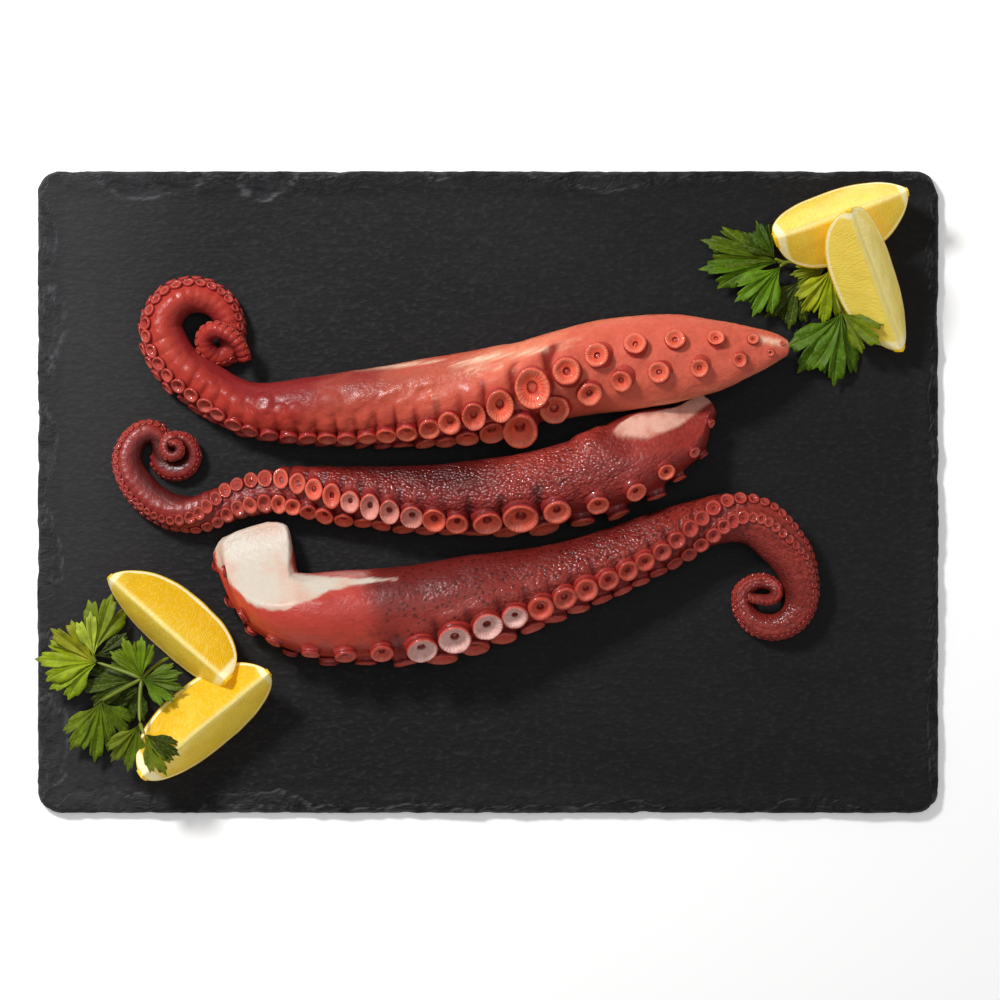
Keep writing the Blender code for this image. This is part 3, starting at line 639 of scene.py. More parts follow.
def drawn_up(distance, bearing, girth, cups, columns):
    """Skin drawn up round every sucker: soft mounds where they stand apart, and where they crowd
    columns that climb the arm, tall ones where columns is 1, with narrow furrows between. Also
    returned: how deep in a furrow each point lies."""
    lift, zone, crest = (np.zeros(len(distance)) for _ in range(3))
    order = np.argsort(distance)
    ranked = distance[order]
    for cup in cups:
        radius, packed = cup["wide"] / 2, cup["packed"]
        band = np.array((-2.6, 2.6)) * radius + cup["distance"]
        near = order[slice(*np.searchsorted(ranked, band))]
        # Along the arm and round it from the cup's middle, in the cup's own radii.
        a = np.abs(distance[near] - cup["distance"]) / (radius * cup["narrow"])
        around = (cup["bearing"] - bearing[near] + math.pi) % (2 * math.pi) - math.pi
        c = around * cup["row"] * girth[near] / radius
        height = min(1.9 + 3.8 * packed * columns, (14 + 3 * columns) / radius * min(1, 8 / radius))
        reach = ease(-c, -max(height, 1.15), -(0.7 + 0.4 * packed)) * ease(c, -1.9, -0.7)
        mound, column = np.exp(-(a / 1.15) ** 2), np.maximum(0, 1 - (a / 1.08) ** 2.4) ** 0.6
        dome = ((1 - packed) * mound + packed * column)
        rise = 0.24 * cup["stand"] + 0.5 * packed * (1 + columns)
        lift[near] = np.maximum(lift[near], rise * dome * reach)
        crest[near] = np.maximum(crest[near], dome * reach)
        zone[near] = np.maximum(zone[near], (0.3 + 0.7 * packed) * np.exp(-(a / 1.9) ** 4) * reach)
    return lift, np.clip(zone - crest, 0, 1)


def arm_skin(name, line, cups, material, seed, rough, columns, pebbled, zone,
             knobs=(), pale_and_highlight_marks=(), lumps=None, cut=None):
    """The muscle and skin of one arm, with the marks that its colours follow: how pebbled it is
    along its length, its dark zone and its pale marks, some pale skin and some painted highlights.
    Knobs are x, y, radius and height; pale marks run from x, y to x, y with a half width; lumps lie
    between two distances, to a height."""
    piece = rod(name, line, SKIN_FACES, material)
    points, bearing = laid_out(piece), stored_on(piece, "bearing")
    ring = np.clip(np.rint(bearing[:, 2]).astype(int), 0, len(line["wide"]) - 1)
    middle, mouth, side = (line[key][ring] for key in ("middle", "mouth", "side"))
    wide, deep, distance = line["wide"][ring], line["deep"][ring], line["length"][ring]
    outward = unit(side * (bearing[:, :1] / np.maximum(wide, 0.3)[:, None])
                   + mouth * (bearing[:, 1:2] / np.maximum(deep, 0.3)[:, None]))
    turned = np.arctan2(bearing[:, 1], bearing[:, 0])
    lift, furrow = drawn_up(distance, turned, np.sqrt(wide * deep), cups, columns)
    straight = np.column_stack([distance, wide * bearing[:, 0], deep * bearing[:, 1]])
    girth = np.minimum(wide, deep)
    uneven = rough * np.minimum(1, girth / 6) * (grain(straight / (1.8, 1, 1), 9.0, seed, 2)
                                                + 0.35 * grain(straight, 2.6, seed + 4))
    if lumps:
        start, end, height = lumps
        creased = 1 - 1.6 * np.abs(grain(straight / (1, 1.3, 1.3), 6.0, seed + 7, 2))
        uneven += height * ease(distance, start, start + 20) * ease(-distance, -end, 20 - end) \
            * ease(bearing[:, 1], -0.5, 0.2) * creased
    for x, y, radius, height in knobs:
        away = np.hypot(points[:, 0] - x, points[:, 1] - y) / radius
        knob = np.exp(-away ** 4) - 0.3 * np.exp(-((away - 1.15) / 0.2) ** 2)
        uneven += height * np.clip(outward[:, 2] + 0.6, 0, 1) * knob
    # Pale marks, on the upper side only: pale skin, and in places painted highlights.
    pale = np.zeros(len(points))
    for x1, y1, x2, y2, width in pale_and_highlight_marks:
        run = np.array((x2 - x1, y2 - y1))
        share = np.clip(((points[:, :2] - (x1, y1)) @ run) / (run @ run), 0, 1)
        away = np.hypot(*(points[:, :2] - (x1, y1) - share[:, None] * run).T) / width
        pale = np.maximum(pale, np.exp(-away ** 2) * ease(outward[:, 2], 0.0, 0.5))
    points = points + outward * (lift + uneven)[:, None]
    points = lie_down(points, middle, mouth, deep)
    flesh = np.zeros(len(points))
    if cut:
        points, flesh = cut(points)
        points[:, 2] = np.maximum(points[:, 2], GAP)
    write_back(piece, points, {
        "mouthward": bearing[:, 1], "sideward": bearing[:, 0], "furrow": furrow, "flesh": flesh, "pale": pale,
        "pebbled": np.interp(distance, *zip(*pebbled)), "zone": zone(points, distance),
        "straight": straight * MM})
    return piece


def blank(name, points, faces, fields):
    """A small mesh of unit size that is copied onto points and never stands in the dish itself."""
    mesh = bpy.data.meshes.new(name)
    mesh.from_pydata(points, [], faces)
    store(mesh, fields)
    return bpy.data.objects.new(name, mesh)


def cup_blank(name, profile, around):
    """One sucker turned from its profile: radius, height and place on the profile."""
    points, faces, place, spoke = [], [], [], []
    for i, (radius, height, share) in enumerate(profile):
        for k in range(around):
            angle = 2 * math.pi * k / around
            points.append((radius * math.cos(angle), radius * math.sin(angle), height))
            place.append(share)
            spoke.append((math.cos(angle), math.sin(angle), 0))
        if i:
            faces += [((i - 1) * around + k, (i - 1) * around + (k + 1) % around,
                       i * around + (k + 1) % around, i * around + k) for k in range(around)]
    faces.append([(len(profile) - 1) * around + k for k in range(around)])
    return blank(name, points, faces, {"cup": place, "spoke": spoke})


def cup_profile(rim):
    """Radius, height and place on the profile from foot to middle; the rim's thickness is a share
    of the radius, more in small cups than in big ones."""
    stalk_and_lip = [
        (1.32, -0.32, 0.0), (1.10, 0.02, 0.05), (1.0, 0.30, 0.12), (0.97, 0.46, 0.18), (0.98, 0.53, 0.22),
        (0.975, 0.565, 0.25), (0.94, 0.59, 0.28), (0.98, 0.63, 0.32), (1.01, 0.72, 0.37), (1.02, 0.82, 0.42),
        (0.99, 0.93, 0.46), (1 - 0.45 * rim, 1.0, 0.50)]
    bowl = [
        (1, 0.965, 0.54), (0.91, 0.89, 0.59), (0.80, 0.79, 0.64), (0.67, 0.70, 0.69), (0.55, 0.625, 0.74),
        (0.44, 0.58, 0.79), (0.375, 0.57, 0.82), (0.32, 0.52, 0.86), (0.28, 0.36, 0.90), (0.21, 0.27, 0.94),
        (0.14, 0.33, 0.97)]
    return stalk_and_lip + [(radius * (1 - rim), height, share) for radius, height, share in bowl] \
        + [(0.03, 0.36, 1.0)]


# Blanks with the diameters that they are for, from and to.
CUP_BLANKS = [
    (cup_blank("big_cup_blank", cup_profile(0.15), 36), 13.2, 99),
    (cup_blank("middle_cup_blank", cup_profile(0.25), 24), 6.0, 13.2),
    (cup_blank("small_cup_blank", cup_profile(0.34)[1::2], 14), 0, 6.0)]


def setting_tree():
    """Sets a copy of a blank on every point, turned to its direction and cut to its size."""
    w, given = started("set_on_points", [
        ("Blank", "NodeSocketObject", None), ("Material", "NodeSocketMaterial", None)])
    kept = {"data_type": "FLOAT_VECTOR"}
    facing, across, size = (w.add("GeometryNodeInputNamedAttribute", kept, {"Name": name})
                            for name in ("facing", "across", "size"))
    turned = w.add("FunctionNodeAxesToRotation", {"primary_axis": "Z", "secondary_axis": "X"},
                   {"Primary Axis": facing, "Secondary Axis": across})
    copied = w.add("GeometryNodeObjectInfo", {}, {"Object": given["Blank"]}, "Geometry")
    copies = w.add("GeometryNodeInstanceOnPoints", {}, {
        "Points": given["Geometry"], "Instance": copied, "Rotation": turned, "Scale": size})
    return finished(w, copies, given["Material"])


SET_ON_POINTS = setting_tree()


def joined(made, name):
    """Several meshes made one piece."""
    with bpy.context.temp_override(active_object=made[0], selected_editable_objects=made):
        bpy.ops.object.join()
    made[0].name = name
    return made[0]


def arm_suckers(name, cups, material, pale=lambda cup: 0.0):
    """All the suckers of one arm as one mesh: finer blanks for the larger cups."""
    made = []
    for cup_made, least, most in CUP_BLANKS:
        chosen = [c for c in cups if least <= c["wide"] < most]
        if not chosen:
            continue
        size = [(c["wide"] / 2 * c["narrow"] * MM, c["wide"] / 2 * MM, c["stand"] * MM) for c in chosen]
        seat = stored_points(f"{name}_seat", [c["foot"] for c in chosen], {
            "facing": [c["facing"] for c in chosen], "across": [c["ahead"] for c in chosen],
            "size": size, "tone": [c["tone"] for c in chosen], "pale": [pale(c) for c in chosen]})
        made.append(modified(seat, SET_ON_POINTS, {"Blank": cup_made, "Material": material}))
    piece = joined(made, name)
    points = laid_out(piece)
    points += 0.28 * np.column_stack([grain(points, 4.5, k, 2) for k in range(3)])
    points[:, 2] = np.maximum(points[:, 2], GAP)
    write_back(piece, points, {})
    return piece


def palette(**paints):
    """The named colours of one skin."""
    return {part: tint(*paint) for part, paint in paints.items()}


# Light goes a little way into boiled skin and comes out red.
UNDER_SKIN = {"Subsurface_Weight": 0.08, "Subsurface_Radius": (1.0, 0.3, 0.15), "Subsurface_Scale": 0.0015}


def skin_look(name, colours, shine):
    """Boiled skin: colour by side of the arm, blotches, streaks along it, pale marks that are
    partly painted highlights, and furrows painted dark, partly deeper red and partly painted shade.
    """
    look = Look(name, **UNDER_SKIN, Specular_IOR_Level=shine, Coat_Roughness=0.08, Coat_IOR=1.4)
    marks = {key: look.stored(key)
             for key in ("mouthward", "sideward", "furrow", "flesh", "pale", "pebbled", "zone")}
    run = marks["run"] = look.stored("straight", "Vector")
    blotch = look.cloud(0.011, 4.0, look.scaled((0.5, 1.0, 1.0), run), 0.6)
    streak = look.cloud(0.005, 4.0, look.scaled((0.14, 1.0, 1.0), run), 0.65)
    fine = marks["fine"] = look.cloud(0.0014, 3.0, run, 0.6)
    colour = look.mixed(blotch.between(0.34, 0.66), colours["back"], colours["back_light"])
    colour = look.mixed(streak.between(0.54, 0.72) * 0.45, colour, colours["streak"])
    to_mouth = (marks["mouthward"] + 0.5 * (blotch - 0.5)).between(0.1, 0.7)
    colour = look.mixed(to_mouth, colour, colours["mouth"])
    in_zone = (marks["zone"] + 0.6 * (blotch - 0.5)).between(0.25, 0.75)
    lighter = (marks["mouthward"] + 0.8 * (blotch - 0.5)).between(-0.5, 0.5)
    colour = look.mixed(in_zone, colour, look.mixed(lighter, colours["zone"], colours["zone_light"]))
    # The furrows between the sucker columns are painted dark: partly the skin's deeper red there, partly
    # painted shade.
    colour = look.mixed(marks["furrow"].between(0.06, 0.5) * 0.85, colour, colours["between"])
    # Pale marks: pale skin in places, and on the top arm's back some thin streaks that are painted
    # highlights.
    colour = look.mixed(marks["pale"] * streak.between(0.36, 0.55) * 0.85, colour, colours["cream"])
    colour = look.mixed(fine.between(0.42, 0.68) * (0.12 + 0.3 * marks["pebbled"]), colour, colours["dark"])
    return look, colour, marks


def wet_finish(look, colour, marks, pebble, gloss, damp):
    """Pebbling and fine wrinkles, painted shade in the gaps between the pebbles, and the wet shine
    that breaks up into points on them: gloss on pebbled skin, damp everywhere."""
    grown = marks["pebbled"] * (1 - 0.8 * marks["flesh"])
    gap = look.cells(0.0013, look.scaled((0.75, 1.0, 1.0), marks["run"]), "F1")
    wrinkles = look.cloud(0.0026, 4.0, look.scaled((0.5, 1.0, 1.0), marks["run"]), 0.65, 0.4)
    # Painted shade: the gaps between the pebbles are painted darker.
    painted_gap_shade = grown * gap.between(0.35, 0.7) * 0.25
    look.feed("Base Color", look.mixed(painted_gap_shade, colour, look.mixed(0.6, colour, colour, "MULTIPLY")))
    wet = (gloss * grown + damp) * look.cloud(0.008, 3.0).between(0.34, 0.6) * (1 - 0.7 * marks["flesh"]) \
        * (1 - 0.7 * marks["furrow"].between(0.0, 0.3)) * marks["mouthward"].between(1.3, 0.3)
    look.feed("Roughness", 0.42 - 0.28 * wet)
    look.feed("Coat Weight", 0.2 * wet)
    height = 0.4 * pebble * grown * (1 - 1.5 * gap * gap) + (0.3 + 0.25 * grown) * wrinkles \
        + 0.2 * marks["fine"]
    look.feed("Normal", look.raised(height, 1.0, 0.0012))


CUP_FOLDS = 24.0


def cup_look(name, colours):
    """Sucker skin: a red stalk, a dark line in the groove under the collar, a pale lip and a deep
    red well; the dark line and the well's deeper red are partly painted shade.
    """
    look = Look(name, **UNDER_SKIN, Specular_IOR_Level=0.3, Coat_Roughness=0.06, Coat_IOR=1.45)
    cup, tone, pale = look.stored("cup"), look.stored("tone"), look.stored("pale")
    # The groove and the well are painted darker, partly their own deeper red, partly painted shade.
    colour = look.add("ShaderNodeValToRGB", {"stops": [
        (place, colours[part]) for place, part in (
            (0.0, "stalk"), (0.18, "stalk"), (0.27, "groove"), (0.33, "collar"), (0.43, "collar"),
            (0.49, "dish"), (0.54, "lip"), (0.60, "lip"), (0.67, "dish"), (0.78, "dish"), (0.84, "well"),
            (0.93, "well"), (1.0, "seed"))]}, {"Fac": cup})
    dish = cup.between(0.44, 0.52) * cup.between(0.84, 0.78)
    x, y = look.parts(look.stored("spoke", "Vector"), "XY")
    folds = (x.maths("ARCTAN2", y, x) * CUP_FOLDS + 6.0 * look.cloud(0.003)).wave()
    folded = dish * folds.between(0.45, 1.0) * tone.between(0.55, 0.9)
    colour = look.mixed(folded * 0.2, colour, colours["lip"])
    colour = look.mixed(tone.between(0.6, 0.05) * 0.5 * dish, colour, colours["collar"])
    hollow = pale * cup.between(0.46, 0.55) * cup.between(0.92, 0.82)
    colour = look.mixed(hollow * 0.68, colour, colours["pale"])
    mottle = look.cloud(0.0022, 4.0, None, 0.65).between(0.45, 0.75)
    colour = look.mixed(mottle * 0.4, colour, colours["collar"])
    colour = look.mixed(tone.between(0.3, 0.0) * 0.6, colour, colours["collar"])
    look.feed("Base Color", colour)
    look.feed("Roughness", 0.32 + 0.25 * look.cloud(0.002))
    look.feed("Coat Weight", 0.7 * look.cloud(0.004).between(0.35, 0.6))
    height = 0.15 * folds * dish + look.cloud(0.0012, 3.0) + look.cloud(0.0035, 2.0)
    look.feed("Normal", look.raised(height, 0.6, 0.0007))
    return look


top_line = arm_line(
    TOP_ARM + curled((-137.2, 75.2), (12.0, 17.0), (-158, -368), (8.8, 5.2), (108, 96), (0, 1), 9)
    + [(-120.6, 66.6, 4.5, 4.5, 92, 1), (-125.6, 63.8, 4.0, 3.9, 90, 2), (-130.0, 67.3, 3.7, 3.5, 90, 5.5),
       (-129.9, 71.9, 3.6, 3.5, 92, 8), (-126.0, 74.2, 3.4, 3.3, 95, 10.5),
       (-119.6, 72.2, 3.0, 2.9, 98, 12.4), (-114.6, 66.8, 2.6, 2.5, 100, 12),
       (-112.4, 60.0, 2.2, 2.2, 100, 9)], ARM_RINGS)
top_cups = sucker_places(top_line, TOP_SUCKERS, TOP_LIFTED, seed=3)
coral, colour, marks = skin_look("coral_skin", palette(
    back=(214, 98, 74), back_light=(236, 140, 106), streak=(244, 166, 130),
    mouth=(218, 102, 80), between=(118, 12, 14), dark=(158, 44, 40),
    cream=(252, 214, 184), zone=(136, 38, 38), zone_light=(174, 56, 44)), shine=0.17)
wet_finish(coral, colour, marks, pebble=0.5, gloss=0.25, damp=0.4)
top_cup_look = cup_look("coral_suckers", palette(
    stalk=(186, 62, 50), groove=(96, 8, 12), collar=(150, 36, 38),
    lip=(238, 124, 94), dish=(238, 98, 68), well=(168, 40, 28),
    seed=(214, 112, 90), pale=(240, 205, 195)))
top_skin = arm_skin(
    "arm_top_skin", top_line, top_cups, coral.material, seed=1, rough=0.4, columns=1.0,
    pebbled=[(0, 0.35), (60, 0.15), (120, 0.15), (160, 0.3), (260, 0.3), (300, 0.2), (400, 0.6)],
    zone=lambda points, distance: np.interp(distance, (105, 150, 215, 250, 300, 400),
                                            (0, 0.48, 0.6, 0.85, 0.62, 0.9)),
    knobs=[(-72.5, 41, 5.5, 1.3), (-102.9, 41, 4.5, 1.0), (-25, 42.8, 3.0, 0.9), (-88, 37, 4.0, 0.8)],
    # Pale marks: the white tear along the top edge and the white patch on a knob are the skin's own; the thin
    # streaks across the back are painted highlights.
    pale_and_highlight_marks=[(-14.9, 59.0, 4.7, 62.1, 2.2), (5.6, 61.4, 26.1, 65.0, 1.6), (33, 66.4, 42, 68.7, 1.6),
                (122, 70.6, 138, 67.8, 1.6), (-8, 54.6, 5.6, 57.3, 1.6), (-24.9, 42.8, -24.5, 42.8, 2.6),
                (-60, 57, -20, 59.5, 1.2)],
    lumps=(150, 290, 1.1))
top_suckers = arm_suckers("arm_top_suckers", top_cups, top_cup_look.material)
for piece in (top_skin, top_suckers):
    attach(piece, "root")
    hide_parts("arm_top")

# ---------------------------------------------------------------------------------------------
# The middle arm. The darkest of the three: dark red, pebbled skin that shines in small points,
# cut slantwise so that some white muscle shows. It turns over along its thin half, where the
# suckers look up, and ends in a wide curl with a tight snail inside.
# ---------------------------------------------------------------------------------------------
MIDDLE_ARM = [
    (103.5, 42.0, 5.5, 5.5, 96, 1), (97.5, 36.3, 8.5, 7.8, 100, 0), (89.4, 27.9, 12.0, 13.6, 108, 0),
    (70.8, 19.2, 15.0, 18.6, 110, 0), (55.7, 12.0, 16.0, 17.7, 102, 0), (37.9, 7.3, 16.0, 16.2, 101, 0),
    (18, 3.5, 15.3, 14.5, 102, 0), (-5, 1.4, 14.5, 13.2, 88, 0), (-28, 0.0, 13.3, 12.3, 98, 0),
    (-46, 0.2, 12.3, 11.6, 115, 0), (-64, 1.0, 11.3, 10.7, 128, 0), (-80, 1.8, 10.2, 9.6, 146, 0),
    (-94, 1.6, 9.0, 8.4, 172, 0), (-107, -1.2, 8.3, 7.6, 189, 0), (-118, -4.3, 7.9, 7.1, 188, 0),
    (-128, -7.4, 7.7, 7.0, 158, 0), (-138, -9, 7.5, 7.0, 127, 0), (-148, -7.2, 7.2, 7.0, 106, 0),
    (-156.5, -1.8, 6.8, 7.0, 100, 0), (-163.2, 5.8, 6.4, 6.6, 100, 0), (-166.8, 14.0, 5.8, 5.9, 98, 0),
    (-165.4, 21.2, 5.2, 5.3, 96, 0), (-161.6, 25.8, 4.7, 4.8, 92, 0), (-156.8, 27.2, 4.2, 4.5, 85, 0),
    (-153.2, 24.3, 3.7, 4.2, 70, 0), (-152.6, 19.8, 3.3, 3.8, 20, 0), (-152.2, 15.3, 3.2, 3.8, -40, 0),
    (-149.6, 11.6, 3.5, 3.8, -68, 0)]
MIDDLE_SUCKERS = [
    (10, 20.5, 4.5, 28, 0.3), (27, 14, 6.5, 30, 0.32), (38, 16, 8.3, 30, 0.35), (53, 18, 10.1, 29, 0.35),
    (67, 18, 11, 28, 0.35), (84, 16.8, 12.5, 28, 0.35), (100, 16.4, 15.9, 27, 0.33),
    (115.5, 13.5, 13.5, 26, 0.38), (128, 10.2, 12.6, 26, 0.4), (138.5, 10.7, 13, 28, 0.3),
    (149.5, 10.6, 14.2, 28, 0.27), (160, 9, 13.6, 29, 0.27), (177.5, 8.9, 12.6, 31, 0.27),
    (204.3, 7.4, 10.4, 34, 0.27), (223.5, 6.4, 8.4, 34, 0.27), (241.5, 5.4, 6.8, 33, 0.3),
    (254.5, 5, 6, 32, 0.3), (264.5, 3.9, 5, 30, 0.3), (292.5, 3.5, 4.3, 27, 0.3),
    (332.5, 2.5, 3.2, 26, 0.3), (417.5, 1.4, 1.8, 25, 0.3)]
MIDDLE_LIFTED = [(30, 0.2), (80, 0.5), (145, 0.5), (165, 0.2), (240, 0.2), (280, 0.3)]
MIDDLE_PALE_CUPS = (141, 182)


def slanting_cut(points):
    """The knife cut across the thick end of the middle arm, and where it leaves muscle bare."""
    x, y = points[:, 0], points[:, 1]
    level = np.where(x > 45, 24 - 0.6 * (y - 25.3) - 0.12 * (x - 74) + 0.8 * np.sin(x / 5.5), 99)
    edge = np.interp(x, (49, 60.4, 74.1, 87.8, 97, 103.4), (31, 25.5, 25, 30.5, 37.4, 41.9))
    flesh = ease(points[:, 2] - level, -0.2, 0.8) * ease(y - edge, -1.4, 1.0)
    points[:, 2] = np.minimum(points[:, 2], level)
    return points, flesh


middle_line = arm_line(
    MIDDLE_ARM + curled((-144.8, 17.8), (7.5, 7.5), (262, 450), (3.8, 2.1), (-75, -95), (0, 5.4), 7)
    + curled((-145.4, 20.2), (4.9, 0.9), (95, 505), (2.0, 1.7), (-95, -100), (6.4, 10.4), 12), ARM_RINGS)
middle_cups = sucker_places(middle_line, MIDDLE_SUCKERS, MIDDLE_LIFTED, seed=7)
maroon, colour, marks = skin_look("maroon_skin", palette(
    back=(136, 38, 32), back_light=(170, 62, 52), streak=(186, 86, 76),
    mouth=(156, 46, 38), between=(80, 6, 8), dark=(70, 12, 14),
    cream=(240, 190, 170), zone=(84, 22, 20), zone_light=(146, 42, 36)), shine=0.5)
bare = maroon.mixed(maroon.cloud(0.006, 3.0).between(0.4, 0.65), tint(232, 180, 160), tint(210, 138, 120))
colour = maroon.mixed(marks["flesh"], colour, bare)
wet_finish(maroon, colour, marks, pebble=1.0, gloss=1.0, damp=0.1)
middle_cup_look = cup_look("maroon_suckers", palette(
    stalk=(140, 40, 36), groove=(70, 4, 8), collar=(140, 38, 38),
    lip=(236, 118, 94), dish=(246, 102, 74), well=(156, 34, 24),
    seed=(190, 96, 80), pale=(236, 172, 158)))
middle_skin = arm_skin(
    "arm_middle_skin", middle_line, middle_cups, maroon.material, seed=5, rough=0.6, columns=0.5,
    pebbled=[(0, 0.3), (45, 0.5), (75, 1), (170, 1), (225, 0.5), (260, 0.15)],
    zone=lambda points, distance: np.interp(distance, (85, 125, 290), (0, 0.7, 1)),
    knobs=[(45.5, 27, 8, 2.2)], cut=slanting_cut)
middle_suckers = arm_suckers(
    "arm_middle_suckers", middle_cups, middle_cup_look.material,
    lambda cup: float(MIDDLE_PALE_CUPS[0] < cup["distance"] < MIDDLE_PALE_CUPS[1] and cup["row"] == 1))
for piece in (middle_skin, middle_suckers):
    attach(piece, "root")
    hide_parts("arm_middle")

# ---------------------------------------------------------------------------------------------
# The bottom arm. The thickest: its base was sliced open lengthwise, so firm white muscle lies
# bare inside a red rim of skin. Brown-red dotted skin follows, turning pebbled towards the tip,
# which curls down, round and over itself.
# ---------------------------------------------------------------------------------------------
BOTTOM_ARM = [
    (-110.5, -14.8, 6.0, 15.0, -84, 3), (-108.6, -21.5, 8.0, 17.2, -84, 1),
    (-106.0, -31.5, 12.0, 17.0, -84, 0), (-103.0, -42.0, 15.0, 16.2, -84, 0),
    (-97.3, -50.0, 17.0, 15.8, -82, 0), (-85.5, -54.5, 18.5, 17.3, -86, 0),
    (-72.0, -55.2, 19.0, 18.8, -88, 0), (-54, -54.5, 18.7, 19.0, -90, 0), (-31, -52.3, 18.3, 19.0, -98, 0),
    (-8, -47.5, 17.8, 18.3, -108, 0), (15, -42.4, 16.0, 16.0, -110, 0), (38, -36.2, 14.3, 13.8, -114, 0),
    (61, -28.5, 13.3, 12.8, -119, 0), (80, -20.5, 12.3, 11.6, -128, 0), (98, -14.5, 11.5, 10.5, -164, 0),
    (112, -12.0, 11.2, 10.3, -198, 0), (124, -14.3, 11.0, 10.6, -216, 0), (133.5, -22.5, 10.4, 10.3, -224, 0),
    (141.0, -32.5, 9.2, 9.2, -240, 0), (144.6, -43.5, 7.9, 7.5, -252, 0)]
BOTTOM_SUCKERS = [
    (13.5, 15, 5.5, 25, 0.1), (43, 18.0, 7.5, 25, 0.2), (58, 18.0, 9.0, 25, 0.25),
    (78, 17.5, 10.5, 25, 0.28), (90, 17.0, 10.5, 25, 0.3), (99, 17, 13.5, 25, 0.36),
    (122, 15, 14.9, 27, 0.36), (137, 13.6, 13.8, 28, 0.33), (150, 11.8, 12.8, 28, 0.33),
    (174, 11, 12.2, 28, 0.3), (195, 9.4, 10.9, 29, 0.3), (213, 8.9, 9.5, 30, 0.3),
    (231, 7.6, 8.4, 27, 0.3), (245, 7.0, 7.4, 25, 0.3), (257, 5.8, 6.6, 25, 0.3),
    (268, 4.6, 5.4, 24, 0.3), (300, 3.5, 3.6, 23, 0.3), (400, 1.6, 1.7, 23, 0.3)]
BOTTOM_LIFTED = [(20, -0.2), (60, 0.1), (85, 0.5), (140, 0.55), (170, 0.3), (260, 0.2)]
BOTTOM_PALE_CUPS = (100, 154)
# Outline of the bare white muscle, seen from above.
BARE_MUSCLE = [
    (-129, -25), (-124, -17), (-113, -12), (-101, -8), (-95.5, -9), (-91.6, -13.5), (-90.6, -17.4),
    (-89.9, -24.2), (-91.3, -33.3), (-88.5, -36.9), (-71.7, -39.2), (-40.8, -39.7), (-62.6, -42.4),
    (-71.7, -44.7), (-77.2, -47.8), (-85.4, -50.6), (-92.2, -53.7), (-99, -53.3), (-105.8, -52.4),
    (-111.3, -48.3), (-118.1, -42.4), (-123.6, -35.6), (-129, -31)]


def inside(points, outline):
    """How far inside an outline each point lies, below 0 outside it."""
    outline = np.array(outline)
    nearest, crossings = np.full(len(points), 1e9), np.zeros(len(points), int)
    for a, b in zip(outline, np.roll(outline, -1, 0)):
        share = np.clip(((points - a) @ (b - a)) / ((b - a) @ (b - a)), 0, 1)
        nearest = np.minimum(nearest, np.hypot(*(points - a - share[:, None] * (b - a)).T))
        spans = (a[1] > points[:, 1]) != (b[1] > points[:, 1])
        climb = b[1] - a[1] if b[1] != a[1] else 1
        crossings += spans & (points[:, 0] < a[0] + (points[:, 1] - a[1]) / climb * (b[0] - a[0]))
    return np.where(crossings % 2 == 1, nearest, -nearest)


def long_cut(points):
    """The long curved slice over the thick end of the bottom arm, and the cut across its end."""
    x, y = points[:, 0], points[:, 1]
    level = 33.5 - 0.8 * (y + 46.5) + 0.2 * np.minimum(x + 88, 0) + 0.08 * (x + 72)
    level = np.where(x < 0, 9 + 6 * np.logaddexp(0, (level - 9) / 6), 99)
    points[:, 2] = np.minimum(points[:, 2], level)
    end = -18.8 + 0.36 * (x + 117) - 0.12 * np.maximum(-121 - x, 0) ** 2 + 0.4 * np.sin(x * 0.9)
    end = np.where(x < -96, end, 99)
    trimmed = y > end
    points[:, 1] = np.minimum(y, end)
    ragged = 0.8 * grain(points, 5.0, 12, 2)
    flesh = ease(inside(points[:, :2], BARE_MUSCLE) + ragged, -0.6, 0.5) * (points[:, 2] > 7)
    return points, np.maximum(flesh, trimmed * (points[:, 2] > 3))


bottom_line = arm_line(
    BOTTOM_ARM + curled((131.2, -49), (13.7, 12.4), (-8, -190), (6.8, 3.6), (-256, -268), (0, 0), 9)
    + [(124.3, -42.7, 3.4, 3.4, -270, 0.5), (129.7, -42.5, 3.2, 3.1, -270, 1.5),
       (133.3, -44.8, 2.8, 2.7, -270, 3.5), (133.4, -47.6, 2.6, 2.5, -270, 5.5),
       (130.6, -49.3, 2.4, 2.3, -270, 7), (125.3, -49.3, 2.1, 2.0, -270, 8.6),
       (119.7, -47.8, 1.5, 1.5, -270, 9)], ARM_RINGS)
bottom_cups = sucker_places(bottom_line, BOTTOM_SUCKERS, BOTTOM_LIFTED, seed=11)
brick, colour, marks = skin_look("brick_skin", palette(
    back=(178, 54, 44), back_light=(192, 66, 54), streak=(200, 86, 74),
    mouth=(200, 70, 50), between=(90, 8, 10), dark=(108, 26, 26),
    cream=(204, 156, 148), zone=(108, 32, 28), zone_light=(148, 48, 38)), shine=0.38)
specks = brick.cells(0.0028, marks["run"], "F1").between(0.38, 0.22)
colour = brick.mixed(specks * marks["zone"] * (1 - marks["furrow"]) * 0.75, colour, tint(72, 16, 14))
bare = brick.mixed(brick.cloud(0.012, 3.0).between(0.42, 0.66), tint(208, 196, 180), tint(212, 174, 154))
colour = brick.mixed(marks["flesh"], colour, bare)
wet_finish(brick, colour, marks, pebble=0.9, gloss=0.95, damp=0.2)
bottom_cup_look = cup_look("brick_suckers", palette(
    stalk=(166, 48, 40), groove=(78, 6, 8), collar=(152, 44, 40),
    lip=(222, 104, 84), dish=(224, 82, 60), well=(150, 38, 28),
    seed=(200, 116, 100), pale=(250, 218, 208)))


def dark_side(points, distance):
    """The dark zone of the bottom arm, from a slanting line on its back, fading to the tip."""
    slant = points[:, 0] + 0.25 * (points[:, 1] + 50)
    return ease(slant, -76, -30) * (1 - 0.35 * ease(distance, 230, 290))


